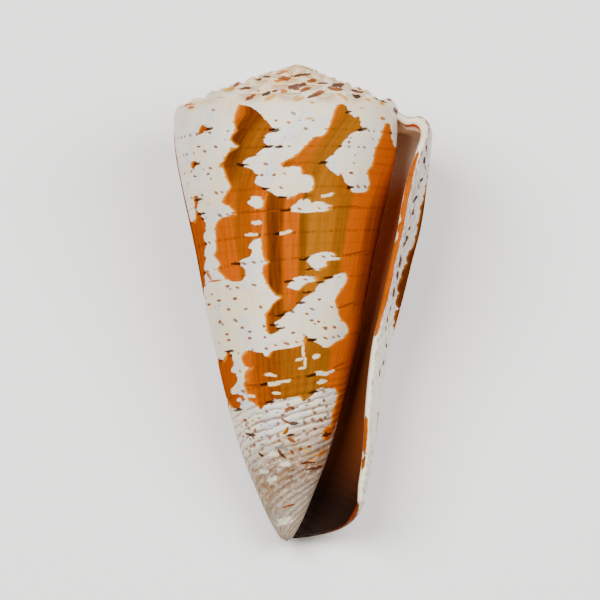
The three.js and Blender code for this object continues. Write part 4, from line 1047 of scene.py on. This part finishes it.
# white ground
ground = node("Mix", node("MapRange", noise["cloud"], 0.35, 0.62, **smooth), tint["white"], tint["cream"],
              **colors)
ground = node("Mix", node("MapRange", noise["wide"], 0.52, 0.7, 0.0, 0.7, **smooth), ground, tint["cool"],
              **colors)
stains = node("TexNoise", {"Vector": place, "Scale": 1000 / stainSize, "Detail": 2.0}, out="Color")
ground = node("Mix", node("MapRange", node("SeparateColor", stains, out=0), 0.5, 0.64, 0.0, 0.45, **smooth),
              ground, tint["coldStain"], **colors)
ground = node("Mix", node("MapRange", node("SeparateColor", stains, out=1), 0.52, 0.66, 0.0, 0.35, **smooth),
              ground, tint["warmStain"], **colors)
ground = node("Mix", node("MapRange", noise["fine"], 0.55, 0.75, 0.0, 0.16, **smooth), ground,
              tint["growthLine"], **colors)
dotColor = node("Mix", luckR, tint["redDot"], tint["greenDot"], **colors)
ground = node("Mix", dots, ground, dotColor, **colors)

# the crown: peach cream with fine red growth lines and brown flecks
crown = node("MapRange", fact["depth"], 9.3, 6.0, **smooth)
crownTint = node("Mix", node("MapRange", noise["cloud"], 0.42, 0.62, **smooth), tint["crown"],
                 tint["crownPeach"], **colors)
crownTint = node("Mix", node("MapRange", noise["fine"], 0.52, 0.68, 0.0, 0.35, **smooth), crownTint,
                 tint["crownLine"], **colors)
crownTint = node("Mix", node("MapRange", noise["crownFleck"], 0.66, 0.72, 0.0, 0.7, **smooth), crownTint,
                 tint["crownFleck"], **colors)
onCrest = node("MapRange", node("Math", node("Math", fact["crownAt"], 7.5, **minus), operation="ABSOLUTE"),
               5.5, 1.0, **smooth)
# painted light and shade on the knobs: their tops are painted lighter as a painted highlight, and the gaps
# between them darker as painted shade, partly the orange at the knobs' bases
knobTopHighlight = node("Math", onCrest, node("MapRange", fact["knob"], 0.0, 0.8, **smooth), **times)
knobGapOrangeAndShade = node("Math", onCrest, node("MapRange", fact["knob"], 0.0, -0.8, **smooth), **times)
crownTint = node("Mix", node("Math", knobGapOrangeAndShade, 0.6, **times), crownTint, tint["knobGapOrangeAndShade"], **colors)
crownTint = node("Mix", node("Math", knobTopHighlight, 0.75, **times), crownTint, tint["knobTopHighlight"], **colors)
ground = node("Mix", node("Math", crown, 0.9, **times), ground, crownTint, **colors)
# painted shade: the crease of the suture between whorls is darkened in colour
suture = node("Math", node("MapRange", fact["crownAt"], 1.3, 0.1, **smooth),
              node("MapRange", fact["turn"], -5.0, -4.6, **smooth), **times)
ground = node("Mix", node("Math", suture, 0.65, **times), ground, tint["suture"], **colors)

# the strip beside the lip, grey with purple streaks
stripShare = node("Math", node("MapRange", fact["turn"], -0.11, -0.09, **smooth),
                  node("Math", fact["zone"], 0.5, operation="LESS_THAN"), **times)
stretched = node("VectorMath", place, [1000 / size for size in dashSize], operation="MULTIPLY",
                 out="Vector")
dashes = node("TexNoise", {"Vector": stretched, "Scale": 1.0, "Detail": 3.0}, out="Fac")
stripTint = node("Mix", node("MapRange", dashes, 0.44, 0.66, **smooth), tint["strip"], tint["stripDash"],
                 **colors)
stripTint = node("Mix", node("MapRange", fact["depth"], 28.0, 42.0, **smooth), stripTint,
                 node("Mix", node("MapRange", dashes, 0.5, 0.72, **smooth), tint["stripPale"],
                      tint["stripPaleDash"], **colors), **colors)
ground = node("Mix", node("Math", stripShare, 0.92, **times), ground, stripTint, **colors)

specks = node("TexVoronoi", {"Vector": place, "Scale": 1000 / speckSize}, out="Distance")
specks = node("Math", sway["ragged"], 0.3, specks, **timesPlus)
specked = node("Math", node("MapRange", specks, 0.36, 0.2, **smooth),
               node("MapRange", noise["speckGroup"], 0.38, 0.48, **smooth), **times)
ground = node("Mix",
              node("Math",
                   node("Math", specked, node("MapRange", fact["depth"], 45.0, 52.0, **smooth), **times),
                   0.85, **times), ground, tint["speck"], **colors)

# the worn, mottled front end
frontShare = node("MapRange", fact["depth"], 59.0, 69.0, **smooth)
frontColor = node("Mix", node("MapRange", noise["frontCloud"], 0.4, 0.66, **smooth), tint["front"],
                  tint["frontDark"], **colors)
frontColor = node("Mix", node("MapRange", noise["frontCloud"], 0.46, 0.28, **smooth), frontColor,
                  tint["frontPale"], **colors)
frontColor = node("Mix", node("MapRange", noise["frontSpot"], 0.55, 0.68, 0.0, 0.6, **smooth), frontColor,
                  tint["frontSpot"], **colors)
frontColor = node("Mix", node("MapRange", noise["frontSpot"], 0.44, 0.32, 0.0, 0.6, **smooth), frontColor,
                  tint["frontFlake"], **colors)
frontColor = node("Mix", node("MapRange", fact["depth"], 69.0, 75.0, 0.0, 0.6, **smooth), frontColor,
                  tint["frontGrey"], **colors)
cordAt = node("Math", noise["cordBend"], 0.9, node("Math", fact["depth"], 0.76, **times), **timesPlus)
cordNumber = node("Math", cordAt, operation="ROUND")
onCord = node("Math", node("Math", cordAt, fullTurn, **times), operation="COSINE")
beadDown = node("Math", fact["depth"], 1.1, node("Math", cordNumber, 5.7, **times), **timesPlus)
beadAt = node("CombineXYZ", node("Math", fact["turn"], 36.0, **times), beadDown, 4.0)
beads = node("TexNoise", {"Vector": beadAt, "Scale": 1.0, "Detail": 3.0}, out="Fac")
beaded = node("Math", node("MapRange", onCord, -0.5, 0.5, **smooth),
              node("MapRange", beads, 0.44, 0.6, **smooth), **times)
frontColor = node("Mix", node("Math", beaded, 0.3, **times), frontColor, tint["bead"], **colors)
# between the front cords the ground darkens: partly the tan brown of the grooves, partly painted shade in
# them
between = node("Math", node("MapRange", onCord, -0.2, -0.9, **smooth),
               node("MapRange", beads, 0.38, 0.56, **smooth), **times)
cordShade = node("Math", node("MapRange", fact["depth"], 50.0, 60.0, **smooth), between, **times)
cordShade = node("Math", cordShade, node("MapRange", fact["depth"], 62.0, 70.0, 1.0, 0.45, **smooth), **times)
ground = node("Mix", node("Math", cordShade, 0.8, **times), ground, tint["cordGapShade"], **colors)
ground = node("Mix", node("Math", frontShare, 0.85, **times), ground, frontColor, **colors)
waveAt = node("Math", node("Math", node("Math", noise["wave"], 6.0, **times), operation="FRACT"), 0.5,
              **minus)
wavy = node("MapRange", node("Math", waveAt, operation="ABSOLUTE"), 0.2, 0.05, **smooth)
wavyShare = node("Math", node("MapRange", fact["depth"], 60.0, 66.0, **smooth), wavy, **times)
ground = node("Mix", node("Math", wavyShare, 0.45, **times), ground, tint["wave"], **colors)

# brown of the patches
warm = node("Math", sway["wide"], 0.9, fact["warmth"], **timesPlus)
dark = node("Math", sway["fine"], 0.9, fact["darkness"], **timesPlus)
brown = node("Mix", dark, node("Mix", warm, tint["mustard"], tint["orange"], **colors),
             node("Mix", warm, tint["umber"], tint["rustDark"], **colors), **colors)
threads = node("Math", node("Math", nearRow, onRows, **times),
               node("MapRange", noise["thread"], 0.42, 0.6, **smooth), **times)
brown = node("Mix", node("Math", threads, node("Math", strong, 0.3, 0.16, **timesPlus), **times), brown,
             tint["thread"], **colors)
leftEdge = node("MapRange", fact["edge"], 0.15, 0.6, **smooth)
fringe = node("Math", leftEdge, node("MapRange", fact["patch"], 3.4, 0.2, **smooth), **times)
fringe = node("Math", fringe, node("Math", stripShare, -0.7, 1.0, **timesPlus), **times)
brown = node("Mix", node("Math", fringe, 0.8, **times), brown, tint["amber"], **colors)
rightEdge = node("MapRange", node("Math", fact["edge"], -1.0, **times), 0.2, 0.7, **smooth)
tips = node("Math", node("Math", rightEdge, node("MapRange", fact["patch"], 3.0, 0.8, **smooth), **times),
            node("Math", node("Math", nearRow, strong, **times), onRows, **times), **times)
brown = node("Mix", node("Math", tips, 0.75, **times), brown, tint["tip"], **colors)

teeth = node("Math", node("Math", nearRow, 0.4, **minus), onRows, **times)
roughEdge = node("Math", sway["ragged"], 1.6, teeth, **timesPlus)
isBrown = node("MapRange", node("Math", fact["patch"], roughEdge, **plus), -0.55, 0.55, **smooth)
outside = node("Mix", isBrown, ground, brown, **colors)

# single marks
blunt = node("Math", fact["markKind"], 6.5, operation="GREATER_THAN")
bentAlong = node("Math", sway["ragged"], 1.2, fact["markAlong"], **timesPlus)
bentAcross = node("Math", sway["blot"], 2.0, fact["markAcross"], **timesPlus)
squareness = node("Math", blunt, 2.0, 2.0, **timesPlus)
markReach = node("Math", node("Math", bentAlong, squareness, operation="POWER"),
                 node("Math", bentAcross, 2.0, operation="POWER"), **plus)
markSpan = node("Math", node("Math", crown, 0.5, 1.2, **timesPlus), markReach, **minus)
markRagged = node("Math", sway["ragged"], markSpan, **plus)
markRagged = node("Math", sway["blot"], 1.2, markRagged, **timesPlus)
markHere = node("MapRange", markRagged, -0.15, 0.4, **smooth)
markFringe = node("Math", node("MapRange", markRagged, -1.5, 0.0, **smooth),
                  node("Math", node("Math", 1.0, isBrown, **minus),
                       node("Math", fact["markKind"], 5.5, operation="LESS_THAN"), **times), **times)
outside = node("Mix", node("Math", markFringe, 0.3, **times), outside, tint["markFringe"], **colors)
whiteFringe = node("Math", node("MapRange", markRagged, -1.6, 0.0, **smooth),
                   node("Math", blunt, isBrown, **times), **times)
outside = node("Mix", node("Math", whiteFringe, 0.5, **times), outside, tint["gapFringe"], **colors)
kinds = node("ValToRGB",
             node("Math", node("Math", fact["markKind"], 0.5, **plus), float(len(markKinds)),
                  operation="DIVIDE"))
ramp = kinds.node.color_ramp
ramp.interpolation = "CONSTANT"
for k in range(len(markKinds) - 2):
    ramp.elements.new(k / len(markKinds))
for k, name in enumerate(markKinds):
    ramp.elements[k].position = k / len(markKinds)
    ramp.elements[k].color = srgb(markTint[name])
outside = node("Mix", node("Math", markHere, 0.9, **times), outside, kinds, **colors)

# the mouth
mouthColor = node("Mix", node("MapRange", fact["turn"], -0.03, -0.32, **smooth), tint["mouthWarm"],
                  tint["mouthDeep"], **colors)
mouthColor = node("Mix", node("MapRange", fact["depth"], 26.0, 48.0, **smooth), mouthColor,
                  tint["mouthBrown"], **colors)
mouthColor = node("Mix", node("MapRange", fact["depth"], 44.0, 62.0, **smooth), mouthColor, tint["mouthDark"],
                  **colors)
# the top of the mouth: its tan raised to near white, a painted glow of light coming through the thin lip
mouthColor = node("Mix", node("MapRange", fact["depth"], 18.5, 11.5, **smooth), mouthColor, tint["mouthTopGlow"],
                  **colors)
isWall = node("Math", fact["zone"], 2.0, 0.4, operation="COMPARE")
isInside = node("Math", fact["zone"], 3.0, 0.4, operation="COMPARE")
wallDeep = node("Math", isWall, node("MapRange", fact["turn"], -1.09, -1.15, **smooth), **times)
surface = node("Mix", wallDeep, outside, mouthColor, **colors)
rimWide = node("MapRange", fact["depth"], 49.0, 57.0, 0.0, -0.05, **smooth)
rimWide = node("Math", node("MapRange", fact["depth"], 58.0, 70.0, **smooth),
               node("Math", noise["cloud"], -0.12, **times), rimWide, **timesPlus)
rimFade = node("MapRange", fact["depth"], 58.0, 70.0, 0.016, 0.036, **smooth)
rimBrown = node("Mix", node("MapRange", fact["depth"], 58.0, 66.0, **smooth), tint["rim"], tint["rimFront"],
                **colors)
insideRim = node("Mix",
                 node("MapRange", fact["turn"], node("Math", rimWide, 0.004, **minus),
                      node("Math", rimWide, rimFade, **minus), **smooth), rimBrown, mouthColor, **colors)
surface = node("Mix", isInside, surface, insideRim, **colors)
lipWhite = node("Mix", node("MapRange", noise["cloud"], 0.4, 0.6, **smooth), tint["lip"], tint["lipCream"],
                **colors)
lipWhite = node("Mix", node("MapRange", fact["across"], 0.28, 0.12, **smooth), lipWhite, stripTint, **colors)
lipWhite = node("Mix", node("MapRange", fact["across"], 0.9, 0.98, **smooth), lipWhite, tint["lipInner"],
                **colors)
lipColor = node("Mix",
                node("MapRange", node("Math", sway["ragged"], 1.4, fact["patch"], **timesPlus), -0.4, 0.5,
                     **smooth), lipWhite, brown, **colors)
marginColor = node("Mix",
                   node("MapRange", node("Math", sway["ragged"], 0.5, fact["across"], **timesPlus), 0.25,
                        0.55, **smooth), tint["margin"], tint["marginInner"], **colors)
lipColor = node("Mix", node("Math", fact["zone"], 4.5, operation="GREATER_THAN"), lipColor, marginColor,
                **colors)
isLip = node("Math", fact["zone"], 3.5, operation="GREATER_THAN")
surface = node("Mix", isLip, surface, lipColor, **colors)

tree.links.new(surface, shader.inputs["Base Color"])
rough = node("Math", noise["grain"], 0.12, 0.26, **timesPlus)
rough = node("Math", frontShare, 0.18, rough, **timesPlus)
tree.links.new(rough, shader.inputs["Roughness"])
gloss = node("Math", node("Math", isBrown, markHere, operation="MAXIMUM"), -0.12, 0.12, **timesPlus)
tree.links.new(gloss, shader.inputs["Specular IOR Level"])
cords = node("Math", onCord, node("MapRange", fact["depth"], 50.0, 60.0, **smooth), **times)
relief = 0.0
for label, share in [("growth", noise["fine"]), ("rows", node("Math", nearRow, onRows, **times)),
                     ("cords", cords), ("knobs", node("Math", onCrest, fact["knob"], **times)),
                     ("front", node("Math", frontShare, noise["frontCloud"], **times)),
                     ("grain", noise["grain"])]:
    relief = node("Math", share, reliefHeight[label], relief, **timesPlus)
bump = node("Bump", {"Height": relief, "Strength": 0.9, "Distance": mm}, out="Normal")
tree.links.new(bump, shader.inputs["Normal"])
shellMesh.materials.append(look)
print("glaze nodes", len(tree.nodes))

# Floor, lights and camera
studio = {
    "floor": 1.2,
    "paper": "e6e5e2",
    "cameraAway": 1.6,
    "lens": 573,
    "aim": (0, -0.001, 0.020),
    "elevation": math.radians(73.1),
    "roll": math.radians(0.97),
    "room": 0.3,  # strength of the light from all round
    "lampsAim": (0, 0, 0.02),
    "lamps": {"leftSoftbox": ((0.30, 0.40), 6.6, (-0.24, 0.06, 0.56)),  # size, watts and place
              "rightSoftbox": ((0.25, 0.40), 4.4, (0.27, 0.02, 0.50))},
}
bm = bmesh.new()
bmesh.ops.create_grid(bm, x_segments=1, y_segments=1, size=studio["floor"])
floorMesh = bpy.data.meshes.new("floor")
bm.to_mesh(floorMesh)
bm.free()
floor = bpy.data.objects.new("floor", floorMesh)
bpy.context.scene.collection.objects.link(floor)
floorLook = bpy.data.materials.new("palePaper")
floorLook.use_nodes = True
floorShader = floorLook.node_tree.nodes["Principled BSDF"]
floorShader.inputs["Base Color"].default_value = srgb(studio["paper"])
floorShader.inputs["Roughness"].default_value = 0.9
floorMesh.materials.append(floorLook)
for name, (size, power, place) in studio["lamps"].items():
    data = bpy.data.lights.new(name, "AREA")
    data.shape = "RECTANGLE"
    data.size, data.size_y = size
    data.energy = power
    lamp = bpy.data.objects.new(name, data)
    bpy.context.scene.collection.objects.link(lamp)
    lamp.location = place
    lamp.rotation_euler = (Vector(studio["lampsAim"]) - Vector(place)).to_track_quat("-Z", "Y").to_euler()
world = bpy.data.worlds.new("softRoom")
world.use_nodes = True
world.node_tree.nodes["Background"].inputs["Color"].default_value = (1, 1, 1, 1)
world.node_tree.nodes["Background"].inputs["Strength"].default_value = studio["room"]
bpy.context.scene.world = world

cameraData = bpy.data.cameras.new("view")
cameraData.lens = studio["lens"]
camera = bpy.data.objects.new("view", cameraData)
bpy.context.scene.collection.objects.link(camera)
aim = Vector(studio["aim"])
way = Vector((0, -math.cos(studio["elevation"]), math.sin(studio["elevation"])))
camera.location = aim + way * studio["cameraAway"]
looking = (-way).to_track_quat("-Z", "Y").to_matrix()
camera.rotation_euler = looking.to_euler()
camera.rotation_euler.rotate_axis("Z", studio["roll"])
bpy.context.scene.camera = camera
print("studio lamps", len(studio["lamps"]))
